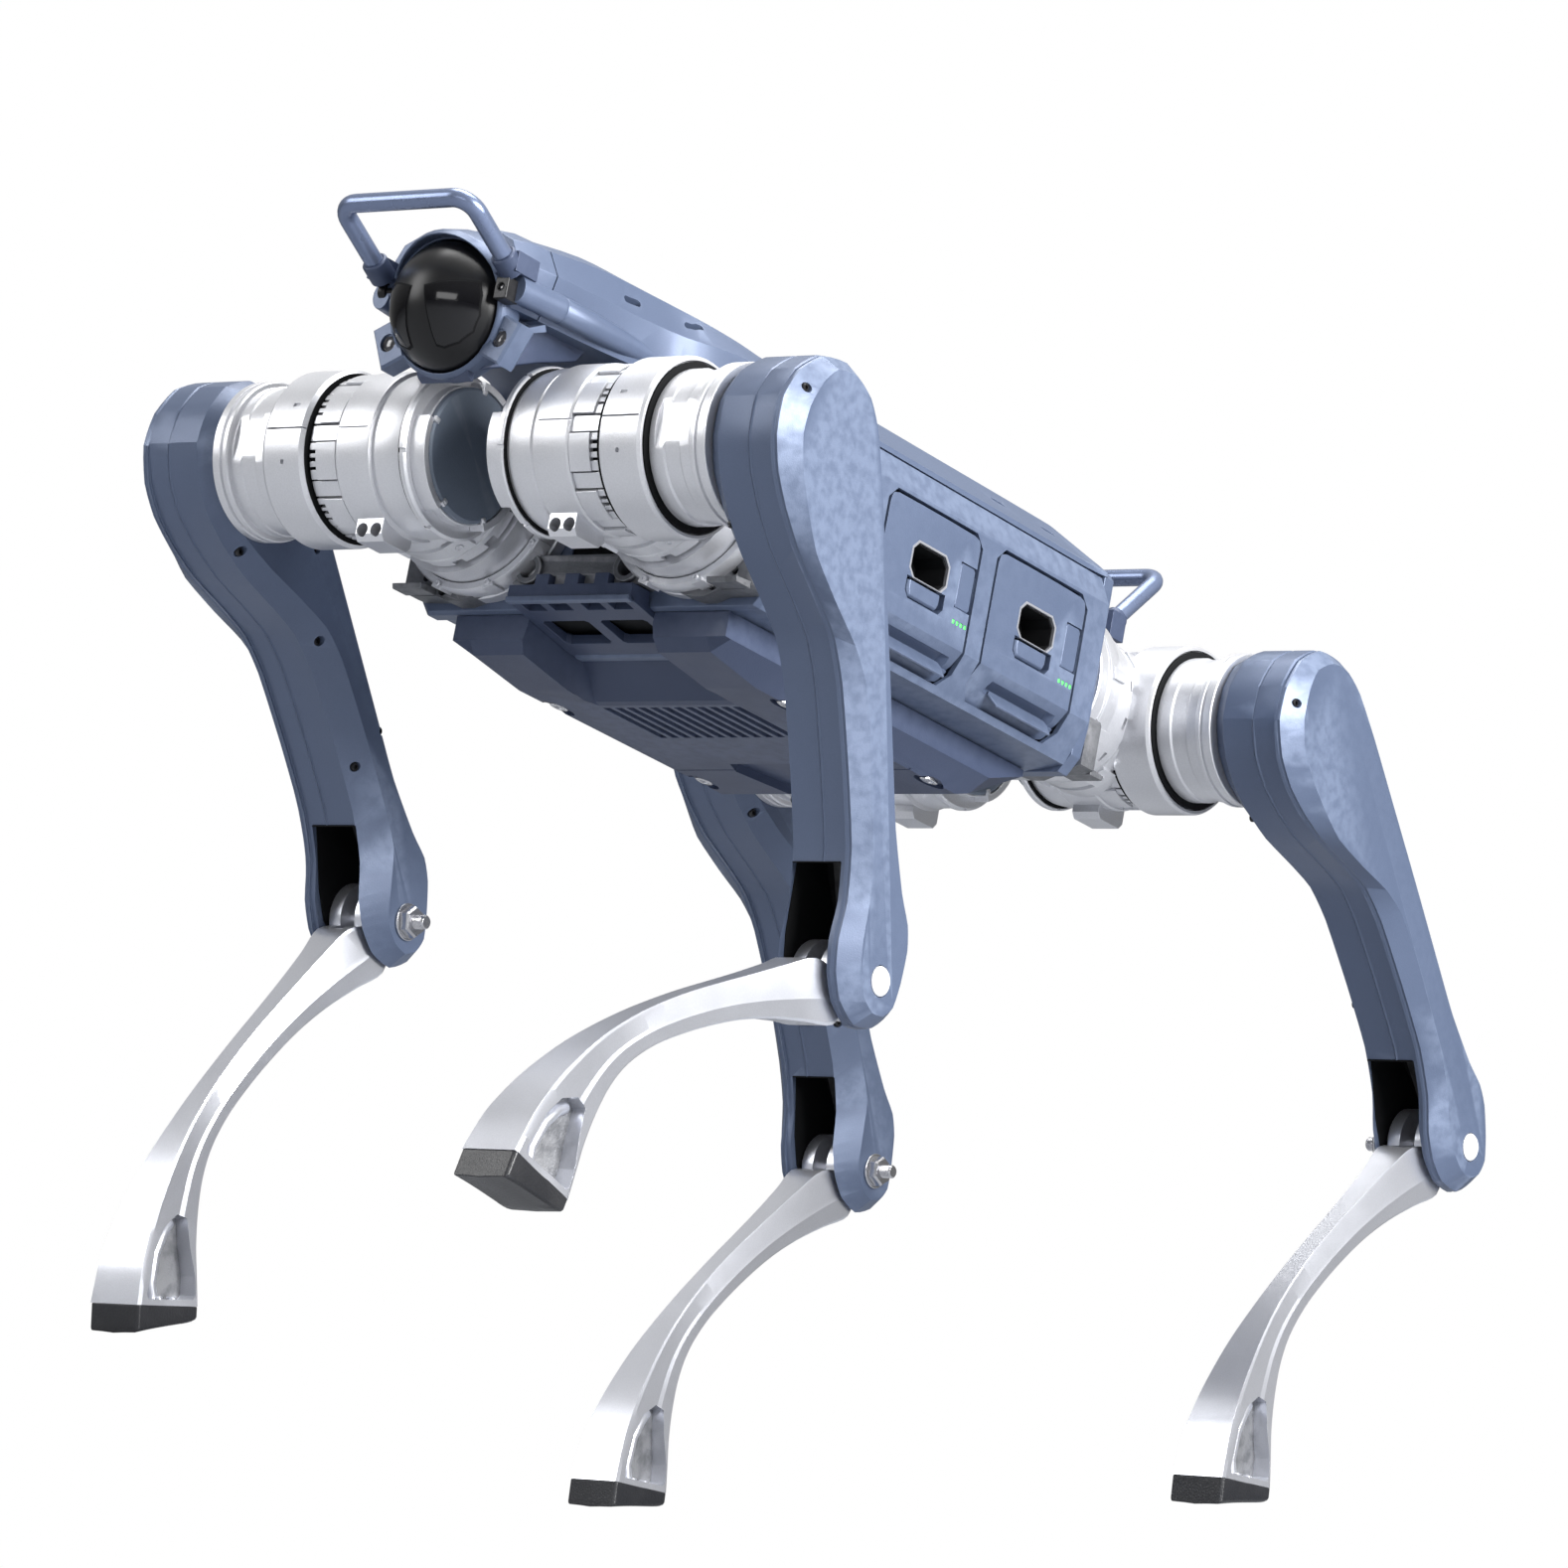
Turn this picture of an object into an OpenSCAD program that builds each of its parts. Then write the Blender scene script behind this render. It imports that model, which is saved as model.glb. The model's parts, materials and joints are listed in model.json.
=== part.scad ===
// Quadruped robot dog. Millimetres, +X forward, +Y to its left, +Z up, origin on the floor under its middle.
// The trunk stays level. The legs stand in mid stride: the right feet carry it and the left feet are lifted.

/* [Trunk] */
// Distance from the middle to each hip's pitch axis, along X
hip_x = 241; // [235:1:260]
// Distance from the middle to each hip's roll axis, along Y
roll_y = 70; // [66:1:74]
// Half width of the trunk at its batteries
trunk_half_w = 127; // [122:1:132]
// Half length of the trunk's box, between its bulkheads
trunk_half_l = 138; // [136:1:140]
// Height of the flat back above the hip axes
back_z = 88; // [84:1:94]
// Height of the fold between the sides and the roof
fold_z = 56; // [54:1:58]
// Depth of the belly pan's underside below the hip axes
belly_z = 83; // [80:1:88]
// Wall of the trunk's shells
shell_t = 3; // [2:0.5:3]

/* [Batteries] */
// Width of a battery pack along X
pack_w = 88; // [80:1:90]
// Depth of a battery pack, from its outer face inward
pack_depth = 186; // [120:1:190]
// Middle of the front pack along X
pack_front_x = 30; // [28:1:34]
// Middle of the rear pack along X
pack_rear_x = -74; // [-78:1:-72]
// Height of a pack's top edge above the hip axes
pack_top_z = 37; // [34:1:40]
// Depth of a pack's bottom edge below the hip axes
pack_low_z = 47; // [44:1:48]

/* [Legs] */
// Thigh length, hip pitch axis to knee axis
thigh_l = 275; // [265:1:290]
// Shank length, knee axis to the middle of the sole plate
shank_l = 275; // [265:1:290]
// Distance from the middle to the shank's centre plane, along Y
leg_y = 190; // [188:1:192]
// Outer radius of the thigh's hip end
thigh_hip_r = 45; // [43:1:46]
// Outer radius of the thigh's knee end
thigh_knee_r = 25; // [24:1:27]
// Radius of the knee linkage's crank and lever
lever_r = 16; // [15:0.5:17]
// Thigh angles from vertical, knee to the rear: front left, front right, rear left, rear right
thigh_deg = [24, 43, 48, 37]; // [0:1:60]
// Shank angles from vertical, foot to the front: front left, front right, rear left, rear right
shank_deg = [54, 26, 33, 34]; // [0:1:60]

/* [Handles] */
// Diameter of the carrying handles' tube
handle_d = 10; // [8:1:12]
// Half width of the handles, between their legs' centrelines
handle_half_w = 43; // [40:1:46]

/* [Payload mount] */
// Radius of the four threaded payload holes in the back
payload_r = 3; // [2:0.5:4]
// Spacing of the payload holes along X
payload_dx = 160; // [120:10:180]
// Spacing of the payload holes along Y
payload_dy = 100; // [80:10:110]

/* [Hidden] */
$fn = 64;
fit = 0.05;                      // radial running clearance
gap = 0.5;                       // clearance between faces that pass each other
// Leg rows: name, +1 front or -1 rear, +1 left or -1 right, thigh angle, shank angle
LEGS = [["fl", 1, 1, thigh_deg[0], shank_deg[0]], ["fr", 1, -1, thigh_deg[1], shank_deg[1]],
        ["rl", -1, 1, thigh_deg[2], shank_deg[2]], ["rr", -1, -1, thigh_deg[3], shank_deg[3]]];
LEG_PARTS = ["hip_housing", "hip_end_cap", "thigh_inner", "thigh_outer", "thigh_cover",
             "knee_axle", "knee_crank", "push_rod", "shank", "foot_pad"];
TRUNK_PARTS = ["trunk_shell", "top_cover", "belly_pan", "belly_duct", "front_bulkhead", "rear_bulkhead",
               "roll_motors", "main_board", "cover_screws", "head_housing", "lidar_dome", "head_lamps",
               "front_handle", "rear_handle", "battery_front", "battery_rear", "latch_front", "latch_rear",
               "button_front", "button_rear"];

// Layers of a leg along Y
inner_y = 165;                   // thigh's inner face
cavity_in_y = 174;               // cavity's inner wall
seam_y = 194;                    // seam between the thigh's two half shells
cavity_out_y = 205;              // cavity's outer wall
cover_y = 209;                   // seam of the thigh's cover
outer_y = 220;                   // thigh's outer face
rod_half_t = 4;                  // half thickness of the push rod
ear_gap_half = 5;                // half gap between the shank's ears
shank_half_w = 14;               // half width of the shank at the knee
crank_y = 196;                   // inner face of the crank disc
pin_r = 4;                       // crank and lever pins
axle_r = 6;                      // knee axle
motor_shaft_r = 6.5;             // knee motor's output shaft
spigot_r = 20;                   // hip output that carries the thigh

// Trunk stations along X
bulkhead_x = trunk_half_l + 12;  // outer face of a bulkhead plate
bracket_hole_y = 33;
roll_motor_r = 46;
roll_face_x = 188;               // output face of a roll motor
roof_t = 5;                      // thickness of the back
channel_half_w = 50;             // half width of the belly's channel
duct_half_w = 42;                // half width of the air scoop
lamp_y = 37;                     // lamps on the head, to each side and up
lamp_z = 40;
lamp_r = 5;
dome_r = 34.5;                   // lidar dome at its seat, and the sphere of its cap
dome_cap_r = 37;
hood_r = 41;
neck_end_x = 296;
neck_rise_x = 140;               // where the neck starts to rise
neck_z = 100;                    // top of the neck at the head
tail_end_x = -252;
head_z = 60;                     // centre of the lidar dome
head_x = 298;                    // seat of the lidar dome
head_tilt = 12;                  // lidar faces this far below level
handle_top_x = 357;              // cross bar of the front handle

// Heights of the feet: the sole plate's middle, and the pad's tread below it
sole_deg = 39;                   // sole plate against the shank's perpendicular
pad_t = 15;
function pad_points() = [for (a = [0:15:180]) sole_point(-24.5 * cos(a), 6 + (pad_t - 6) * sin(a / 2))];
// Point of the sole in the shank's frame: u along the sole to the front, v below the plate
function sole_point(u, v) =
    [u * cos(sole_deg) - v * sin(sole_deg), -shank_l - u * sin(sole_deg) - v * cos(sole_deg)];
function lowest(leg) = min([for (p = pad_points())
    -thigh_l * cos(leg[3]) + p[1] * cos(leg[4]) + p[0] * sin(leg[4])]);
function foremost(leg) = max([for (p = pad_points())
    leg[1] * hip_x - thigh_l * sin(leg[3]) + p[0] * cos(leg[4]) - p[1] * sin(leg[4])]);
function rearmost(leg) = leg[1] * hip_x - thigh_l * sin(leg[3]) - thigh_knee_r;
front_x = max(handle_top_x + handle_d / 2, max([for (leg = LEGS) foremost(leg)]));
rear_x = min([for (leg = LEGS) rearmost(leg)]);
hip_z = -min([for (leg = LEGS) lowest(leg)]);   // height of the hip axes above the floor
trunk_x = -(front_x + rear_x) / 2;              // brings the middle of the whole box over the origin

BLUE = [0.44, 0.50, 0.64];
DARK_BLUE = [0.25, 0.29, 0.40];
SILVER = [0.78, 0.79, 0.81];
DARK_METAL = [0.30, 0.31, 0.33];
BLACK = [0.06, 0.06, 0.07];

// ---------- placing ----------
module in_trunk() translate([trunk_x, 0, hip_z]) children();
// Left-hand parts are drawn once and mirrored for the right
module on_side(leg) mirror([0, leg[2] < 0 ? 1 : 0, 0]) children();
module at_hip(leg) in_trunk() translate([leg[1] * hip_x, 0, 0]) on_side(leg) children();
// Thigh frame: knee straight down, at -Z; turned back by the thigh's angle
module in_thigh(leg) at_hip(leg) rotate([0, leg[3], 0]) children();
// Shank frame: origin on the knee axis, sole straight down
module in_shank(leg) in_thigh(leg) translate([0, 0, -thigh_l]) rotate([0, -leg[3] - leg[4], 0]) children();
// Extrude an XZ outline from y0 to y1
module slab(y0, y1) translate([0, y1, 0]) rotate([90, 0, 0]) linear_extrude(y1 - y0) children();
// Round bar along Y, and along X
module bar_y(r, y0, y1) translate([0, y1, 0]) rotate([90, 0, 0]) cylinder(r = r, h = y1 - y0);
module bar_x(r, x0, x1) translate([x0, 0, 0]) rotate([0, 90, 0]) cylinder(r = r, h = x1 - x0);
// Extrude a YZ outline from x0 to x1
module span(x0, x1) translate([x0, 0, 0]) rotate([90, 0, 90]) linear_extrude(x1 - x0) children();

// ---------- outlines ----------
// Thigh from the side: round hip end, waist, rear bulge for the lever, round knee end
module thigh_outline() {
    circle(r = thigh_hip_r);
    polygon([[-33, 20], [-34, -55], [-30, -125], [-26, -195], [-26, -228], [-32, -250], [-31, -268],
             [-20, -290], [0, -thigh_l], [25, -thigh_l], [20, -248], [10, -228], [5, -205],
             [4, -150], [4, -108], [16, -80], [32, -50], [44, -10]]);
    translate([0, -thigh_l]) circle(r = thigh_knee_r);
}
// Space inside the thigh: crank, rod and lever run here, and the shank comes out below and in front
module thigh_cavity() {
    circle(r = 27);
    polygon([[-24, 0], [-23, -225], [-27, -248], [-27, -262], [-20, -thigh_l - 40],
             [60, -thigh_l - 40], [60, -240], [24, -222], [2, -212], [1, -110], [20, -60], [24, 0]]);
}
// Shank from the side: bowed forward, flared at the foot
module shank_outline() {
    circle(r = 21);
    polygon([[-20, -6], [-12, -30], [-2, -52], [9, -78], [17, -105], [23, -132], [26, -160], [25, -184],
             [20, -204], [8, -224], [-8, -243], sole_point(-24.5, 0), sole_point(24.5, 0),
             [29, -272], [37, -250], [42, -222], [44, -190], [43, -160], [40, -128], [34, -95],
             [27, -62], [21, -30], [21, 0]]);
}
// Shank from the front: narrow in the middle, flared at the foot
module shank_front_outline() {
    polygon([[-shank_half_w, 25], [-shank_half_w, -30], [-8, -90], [-8, -190], [-13, -240], [-17, -275],
             [-17, -340], [17, -340], [17, -275], [13, -240], [8, -190], [8, -90],
             [shank_half_w, -30], [shank_half_w, 25]]);
}
// Trunk box from the front, open above the fold
module trunk_section() {
    polygon([[-119, fold_z], [-trunk_half_w, 40], [-trunk_half_w, -28], [-115, -52], [-88, -56],
             [88, -56], [115, -52], [trunk_half_w, -28], [trunk_half_w, 40], [119, fold_z]]);
}
module roof_section() polygon([[-119, fold_z], [-78, back_z], [78, back_z], [119, fold_z]]);
// Neck's crest from the front: half widths below and on top, and its height
module crest_section(low_w, top_w, z)
    polygon([[-low_w, back_z - 4], [low_w, back_z - 4], [top_w, z], [-top_w, z]]);
// Back, neck and tail from above
module roof_plan() {
    half = [[tail_end_x, 40], [-190, 52], [-168, 84], [-142, 122], [132, 122], [166, 84], [186, 62],
            [neck_end_x, 47]];
    polygon(concat(half, [for (i = [len(half) - 1:-1:0]) [half[i][0], -half[i][1]]]));
}
// A battery's face
module pack_outline(grow = 0) {
    w = pack_w / 2 + grow;
    top = pack_top_z + grow;
    low = -pack_low_z - grow;
    polygon([[-w, low + 8], [-w + 7, low], [w - 7, low], [w, low + 8], [w, top - 7], [w - 7, top],
             [-w + 7, top], [-w, top - 7]]);
}

// ---------- legs ----------
// Thigh motor's housing: stepped drum on the pitch axis, with the roll flange on its trunk side
module hip_housing(leg) color(SILVER) at_hip(leg) mirror([leg[1] < 0 ? 1 : 0, 0, 0]) difference() {
    union() {
        rotate([-90, 0, 0]) rotate_extrude()
            polygon([[0, 24], [37, 24], [38, 30], [45, 30], [45, 35], [42, 36], [42, 53.5], [45, 54],
                     [45, 79], [41, 79], [41, 98], [44, 98], [47.5, 101], [47.5, 126], [45, 128.6],
                     [40, 128.6], [40, 155], [43, 155], [43, inner_y - gap], [spigot_r, inner_y - gap],
                     [spigot_r, cavity_in_y], [0, cavity_in_y]]);
        translate([0, roll_y, 0]) bar_x(43.3, roll_face_x + gap - hip_x, -12);
        // locking blocks around the middle groove
        for (a = [0:24:336]) rotate([0, a, 0]) translate([36, 78, -5]) cube([7.4, a % 48 == 0 ? 21 : 13, 10]);
        // two-hole lug under the drum
        translate([-4, 56, -52]) cube([23, 17, 12]);
    }
    bar_y(motor_shaft_r + fit, 100, cavity_in_y + 1);
    translate([0, roll_y, 0]) bar_x(12 + fit, roll_face_x - hip_x - 1, roll_face_x - hip_x + 14);
    for (y = [60, 69.3]) translate([11, y, -46.8]) rotate([0, 90, 0]) cylinder(r = 3.2, h = 9);
}
module hip_end_cap(leg) color(DARK_METAL) at_hip(leg) difference() {
    union() {
        bar_y(36, 20, 24);
        for (a = [45:90:315]) rotate([0, a, 0]) translate([31, 18.5, -3]) cube([3.5, 2, 6]);
    }
    bar_y(8, 19, 21);
}
module thigh_inner(leg) color(BLUE) in_thigh(leg) difference() {
    slab(inner_y, seam_y) thigh_outline();
    slab(cavity_in_y, seam_y + 1) thigh_cavity();
    bar_y(spigot_r + fit, inner_y - 1, cavity_in_y + 1);
    translate([0, 0, -thigh_l]) bar_y(axle_r + fit, inner_y - 1, cavity_in_y + 1);
    // inner front edge cut back along the waist
    translate([4, inner_y, -165]) rotate([0, 0, -24]) translate([-14, -40, -76]) cube([60, 40, 140]);
    // cover screws' recesses
    for (p = [[-24, -92], [-18, -150], [-17, -232]]) translate([p[0], 0, p[1]])
        bar_y(3, inner_y - 1, inner_y + 5);
}
module thigh_outer(leg) color(BLUE) in_thigh(leg) difference() {
    slab(seam_y, cover_y) thigh_outline();
    slab(seam_y - 1, cavity_out_y) thigh_cavity();
    translate([0, 0, -thigh_l]) bar_y(axle_r + fit, cavity_out_y - 1, cover_y + 1);
}
module thigh_cover(leg) color(BLUE) in_thigh(leg) difference() {
    union() {
        slab(cover_y, 216) offset(delta = -1) thigh_outline();
        slab(216, outer_y) offset(delta = -6) thigh_outline();
    }
    translate([0, 0, -thigh_l]) bar_y(8 + fit, cover_y - 1, outer_y + 1);
    translate([26, 0, 28]) bar_y(3, 212, outer_y + 1);
}
// Knee bolt: head outside, nut and thread on the inner side
module knee_axle(leg) color(SILVER) in_thigh(leg) translate([0, 0, -thigh_l]) {
    bar_y(8, cover_y, outer_y + 0.5);
    bar_y(axle_r, inner_y, cover_y);
    translate([0, inner_y, 0]) rotate([90, 0, 0]) cylinder(r = 9, h = 7, $fn = 6);
    bar_y(4, 151, inner_y - 7);
}
// Knee motor's crank, on the pitch axis inside the thigh
module knee_crank(leg) color(DARK_METAL) in_thigh(leg) {
    bar_y(motor_shaft_r, 102, crank_y);
    bar_y(23, crank_y, cavity_out_y - gap);
    translate([-lever_r, 0, 0]) bar_y(pin_r, leg_y - rod_half_t - 1, crank_y);
}
module push_rod(leg) color(DARK_METAL) in_thigh(leg) translate([-lever_r, 0, 0]) difference() {
    union() {
        for (z = [0, -thigh_l]) translate([0, 0, z]) bar_y(8, leg_y - rod_half_t, leg_y + rod_half_t);
        translate([-4, leg_y - rod_half_t, -thigh_l]) cube([8, 2 * rod_half_t, thigh_l]);
    }
    bar_y(pin_r + fit, leg_y - 10, leg_y + 10);
    // the opened pivot of the linkage runs with a little play
    translate([0, 0, -thigh_l]) bar_y(pin_r + 0.3, leg_y - 10, leg_y + 10);
}
module shank(leg) color(SILVER) in_shank(leg) {
    difference() {
        translate([0, leg_y, 0]) intersection() {
            slab(-20, 20) shank_outline();
            span(-60, 80) shank_front_outline();
        }
        // slot between the ears, for the rod's end
        translate([-40, leg_y - ear_gap_half, -24]) cube([80, 2 * ear_gap_half, 60]);
        bar_y(axle_r + fit, 150, 230);
        // pockets on both sides of the foot
        for (s = [-1, 1]) translate([0, leg_y + s * 16, 0]) slab(-7, 7)
            polygon([[15, -230], [24, -236], [24, -262], [12, -276], [-10, -254]]);
    }
    // lever pin, square to the thigh at rest
    rotate([0, leg[3] + leg[4], 0]) translate([-lever_r, 0, 0])
        bar_y(pin_r, leg_y - ear_gap_half - 1, leg_y + ear_gap_half + 1);
}
module foot_pad(leg) color(BLACK) in_shank(leg) slab(leg_y - 17, leg_y + 17)
    polygon(concat([sole_point(24.5, 0), sole_point(-24.5, 0)], pad_points()));

// ---------- trunk ----------
module pack_bays(grow, y0, y1) for (x = [pack_front_x, pack_rear_x])
    translate([x, 0, 0]) slab(y0, y1) pack_outline(grow);
module trunk_shell() color(BLUE) in_trunk() difference() {
    span(-trunk_half_l, trunk_half_l) trunk_section();
    span(-trunk_half_l - 1, trunk_half_l + 1) offset(delta = -shell_t) trunk_section();
    // open under the roof
    translate([0, 0, fold_z - shell_t - 1]) linear_extrude(10)
        square([2 * trunk_half_l + 2, 232], center = true);
    pack_bays(1, 100, 140);
}
module top_cover() color(BLUE) in_trunk() difference() {
    union() {
        intersection() {
            span(tail_end_x, neck_end_x) roof_section();
            linear_extrude(back_z + 10) roof_plan();
        }
        // the neck rises toward the head, highest before its middle
        hull() {
            span(neck_rise_x - 20, neck_rise_x - 19) crest_section(60, 56, back_z);
            span(neck_rise_x + 40, neck_rise_x + 41) crest_section(58, 38, neck_z + 3);
            span(neck_rise_x + 80, neck_rise_x + 81) crest_section(54, 34, neck_z + 6);
            span(neck_rise_x + 120, neck_rise_x + 121) crest_section(52, 32, neck_z + 5.5);
            span(neck_end_x - 1, neck_end_x) crest_section(46, 28, neck_z);
        }
    }
    // hollow: open below over the trunk, floored in the neck and tail
    intersection() {
        span(tail_end_x + shell_t, neck_end_x - shell_t) translate([0, -roof_t]) roof_section();
        offset_plan(fold_z + shell_t);
    }
    intersection() {
        span(-trunk_half_l, trunk_half_l) translate([0, -roof_t]) roof_section();
        offset_plan(fold_z - 1);
    }
    for (x = [-1, 1], y = [-1, 1]) translate([x * payload_dx / 2, y * payload_dy / 2, back_z - 6])
        cylinder(r = payload_r, h = 8);
    // screw recesses in the roof's sloping sides
    for (x = [-110, -60, 110], y = [-98.5, 98.5]) translate([x, y, 69.5]) cylinder(r = 3, h = 10);
}
// The space inside the roof's walls, from a height up to the roof's underside
module offset_plan(z0) translate([0, 0, z0]) linear_extrude(back_z - roof_t - z0)
    offset(delta = -shell_t) roof_plan();
module belly_pan() color(DARK_BLUE) in_trunk() difference() {
    intersection() {
        slab(-92, 92) polygon([[146, -56], [142, -77], [98, -belly_z], [-98, -belly_z], [-134, -56]]);
        span(-150, 150) polygon([[-92, -56], [-92, -70], [-80, -90], [80, -90], [92, -70], [92, -56]]);
    }
    // hollow above
    translate([-118, -86, -60]) cube([256, 172, 10]);
    // ramp up to the air scoop, its notch, then grooves between the cooling fins
    slab(-channel_half_w, channel_half_w)
        polygon([[74, -belly_z - 1], [74, -belly_z], [104, -64], [150, -64], [150, -belly_z - 1]]);
    translate([99, -duct_half_w - gap, -belly_z]) cube([60, 2 * (duct_half_w + gap), 40]);
    for (y = [-44:8:44]) translate([12, y - 2.4, -belly_z - 1]) cube([54, 4.8, belly_z + 1 - 67]);
    for (x = [66, -70], y = [-76, 76]) translate([x, y, -belly_z - 1]) cylinder(r = 3, h = 5);
}
// Air scoop under the front edge
module belly_duct() color(DARK_BLUE) in_trunk() difference() {
    slab(-duct_half_w, duct_half_w)
        polygon([[168, -46 - gap], [168, -55], [108, -66], [100, -66], [100, -61], [146, -57],
                 [151, -56.5], [153, -46 - gap]]);
    for (y = [-34, -16, 4, 22]) translate([154, y, -70]) cube([8, 12, 30]);
    for (y = [-34, 4]) translate([118, y, -80]) cube([22, 30, 30]);
}
module bulkhead(dir) mirror([dir < 0 ? 1 : 0, 0, 0]) difference() {
    union() {
        span(trunk_half_l, bulkhead_x) trunk_section();
        for (s = [-1, 1]) translate([0, s * roll_y, 0]) bar_x(roll_motor_r + 5, bulkhead_x, 172);
        span(bulkhead_x - 1, bulkhead_x + 16) bracket_outline();
    }
    for (s = [-1, 1]) translate([0, s * roll_y, 0]) bar_x(roll_motor_r + fit, trunk_half_l - 1, roll_face_x);
    translate([trunk_half_l - 1, -18, -40]) cube([14, 36, 60]);
    for (s = [-1, 1]) translate([0, s * bracket_hole_y, -37]) bar_x(5, bulkhead_x - 13, bulkhead_x + 17);
}
// Casting under the roll motors, with three notches in its lower edge
module bracket_outline() difference() {
    half = [[28, -28], [40, -28], [58, -18], [116, -18], [118, -50], [94, -51], [78, -53], [63, -49],
            [47, -40], [42, -46]];
    polygon(concat(half, [for (i = [len(half) - 1:-1:0]) [-half[i][0], half[i][1]]]));
    for (y = [-20, 0, 20]) translate([y - 5, -47]) square([10, 6.5]);
}
module front_bulkhead() color(DARK_METAL) in_trunk() bulkhead(1);
module rear_bulkhead() color(DARK_METAL) in_trunk() bulkhead(-1);
// Four roll motors, each with an output shaft toward its hip
module roll_motors() color(SILVER) in_trunk() for (dir = [-1, 1], s = [-1, 1])
    mirror([dir < 0 ? 1 : 0, 0, 0]) translate([0, s * roll_y, 0]) {
        bar_x(roll_motor_r, trunk_half_l + 1, roll_face_x);
        bar_x(12, roll_face_x, roll_face_x + 12);
    }
module main_board() color([0.10, 0.32, 0.20]) in_trunk() {
    translate([-110, -80, pack_top_z + 5]) cube([220, 160, 2]);
    for (x = [-70, 0, 60]) translate([x, -30, pack_top_z + 7]) cube([34, 50, 9]);
}
module cover_screws() color(SILVER) in_trunk() {
    for (x = [66, -70], y = [-76, 76]) translate([x, y, -belly_z + 1]) cylinder(r = 2.9, h = 3);
}
// Head: hood over the neck's end, collar of the lidar, and the two lamp pods
module head_housing() color(BLUE) in_trunk() difference() {
    union() {
        translate([neck_end_x, -47, 57]) cube([14, 94, 26]);
        translate([neck_end_x, 0, head_z]) bar_x(hood_r, 0, 14);
        translate([neck_end_x, -24, 16]) cube([10, 48, 20]);
        for (s = [-1, 1]) translate([neck_end_x, s * lamp_y, lamp_z]) rotate([-25 * s, 0, 0])
            translate([0, -8, -12]) cube([10, 16, 24]);
    }
    translate([head_x, 0, head_z]) rotate([0, head_tilt, 0]) bar_x(dome_r + gap, 1, 40);
    for (s = [-1, 1]) translate([0, s * lamp_y, lamp_z]) bar_x(lamp_r, neck_end_x + 6, neck_end_x + 11);
}
module lidar_dome() color(BLACK) in_trunk() translate([head_x, 0, head_z]) rotate([0, head_tilt, 0]) {
    bar_x(dome_r, 1.2, 12);
    intersection() {
        translate([12 - sqrt(pow(dome_cap_r, 2) - pow(dome_r, 2)), 0, 0]) sphere(r = dome_cap_r);
        bar_x(dome_r, 12, 60);
    }
}
module head_lamps() color(DARK_METAL) in_trunk() for (s = [-1, 1])
    translate([neck_end_x, s * lamp_y, lamp_z]) bar_x(lamp_r - 0.2, 6, 9);
// A bent tube: two legs and a cross bar with ball corners
module handle_tube(low, top) {
    for (s = [-1, 1]) hull() for (p = [low, top]) translate([p[0], s * handle_half_w, p[1]])
        sphere(d = handle_d, $fn = 24);
    translate([top[0], -handle_half_w, top[1]]) rotate([-90, 0, 0])
        cylinder(d = handle_d, h = 2 * handle_half_w);
}
module front_handle() color(BLUE) in_trunk() {
    handle_tube([318, 77], [handle_top_x, 98]);
    for (s = [-1, 1]) translate([neck_end_x + 14, s * (handle_half_w + 2) - 6, 71]) cube([8, 12, 13]);
}
module rear_handle() color(BLUE) in_trunk() {
    handle_tube([-260, 72], [-300, 112]);
    for (s = [-1, 1]) translate([tail_end_x - 12, s * (handle_half_w - 4) - 9, 60]) cube([12, 18, 16]);
}
// Battery pack with a finger recess, and its latch and button seats
module battery(x) in_trunk() translate([x, 0, 0]) difference() {
    intersection() {
        slab(trunk_half_w - pack_depth, trunk_half_w) pack_outline();
        span(-60, 60) polygon([[-80, 50], [-80, -60], [111, -60], [trunk_half_w, -28], [trunk_half_w, 50]]);
    }
    translate([-17, trunk_half_w - 22, -4]) cube([32, 30, 20]);
    translate([-16, trunk_half_w - 9, -15]) cube([30, 12, 11]);
    translate([-43, trunk_half_w - 4, -7]) cube([15, 6, 26]);
}
module battery_front() color(BLUE) battery(pack_front_x);
module battery_rear() color(BLUE) battery(pack_rear_x);
// Push latch below the recess
module latch(x) in_trunk() translate([x - 15.5, trunk_half_w - 7, -14.5]) cube([29, 7, 10]);
module latch_front() color(DARK_BLUE) latch(pack_front_x);
module latch_rear() color(DARK_BLUE) latch(pack_rear_x);
module button(x) in_trunk() translate([x - 42.5, trunk_half_w - 2.5, -6.5]) cube([14, 2, 25]);
module button_front() color(BLUE) button(pack_front_x);
module button_rear() color(BLUE) button(pack_rear_x);

trunk_shell();
top_cover();
belly_pan();
belly_duct();
front_bulkhead();
rear_bulkhead();
roll_motors();
main_board();
cover_screws();
head_housing();
lidar_dome();
head_lamps();
front_handle();
rear_handle();
battery_front();
battery_rear();
latch_front();
latch_rear();
button_front();
button_rear();
for (leg = LEGS) {
    hip_housing(leg);
    hip_end_cap(leg);
    thigh_inner(leg);
    thigh_outer(leg);
    thigh_cover(leg);
    knee_axle(leg);
    knee_crank(leg);
    push_rod(leg);
    shank(leg);
    foot_pad(leg);
}
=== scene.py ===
import json
from math import asin, atan2, cos, degrees, pi, radians, sin, sqrt, tan

import bmesh
import bpy
from mathutils import Matrix, Vector


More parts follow.
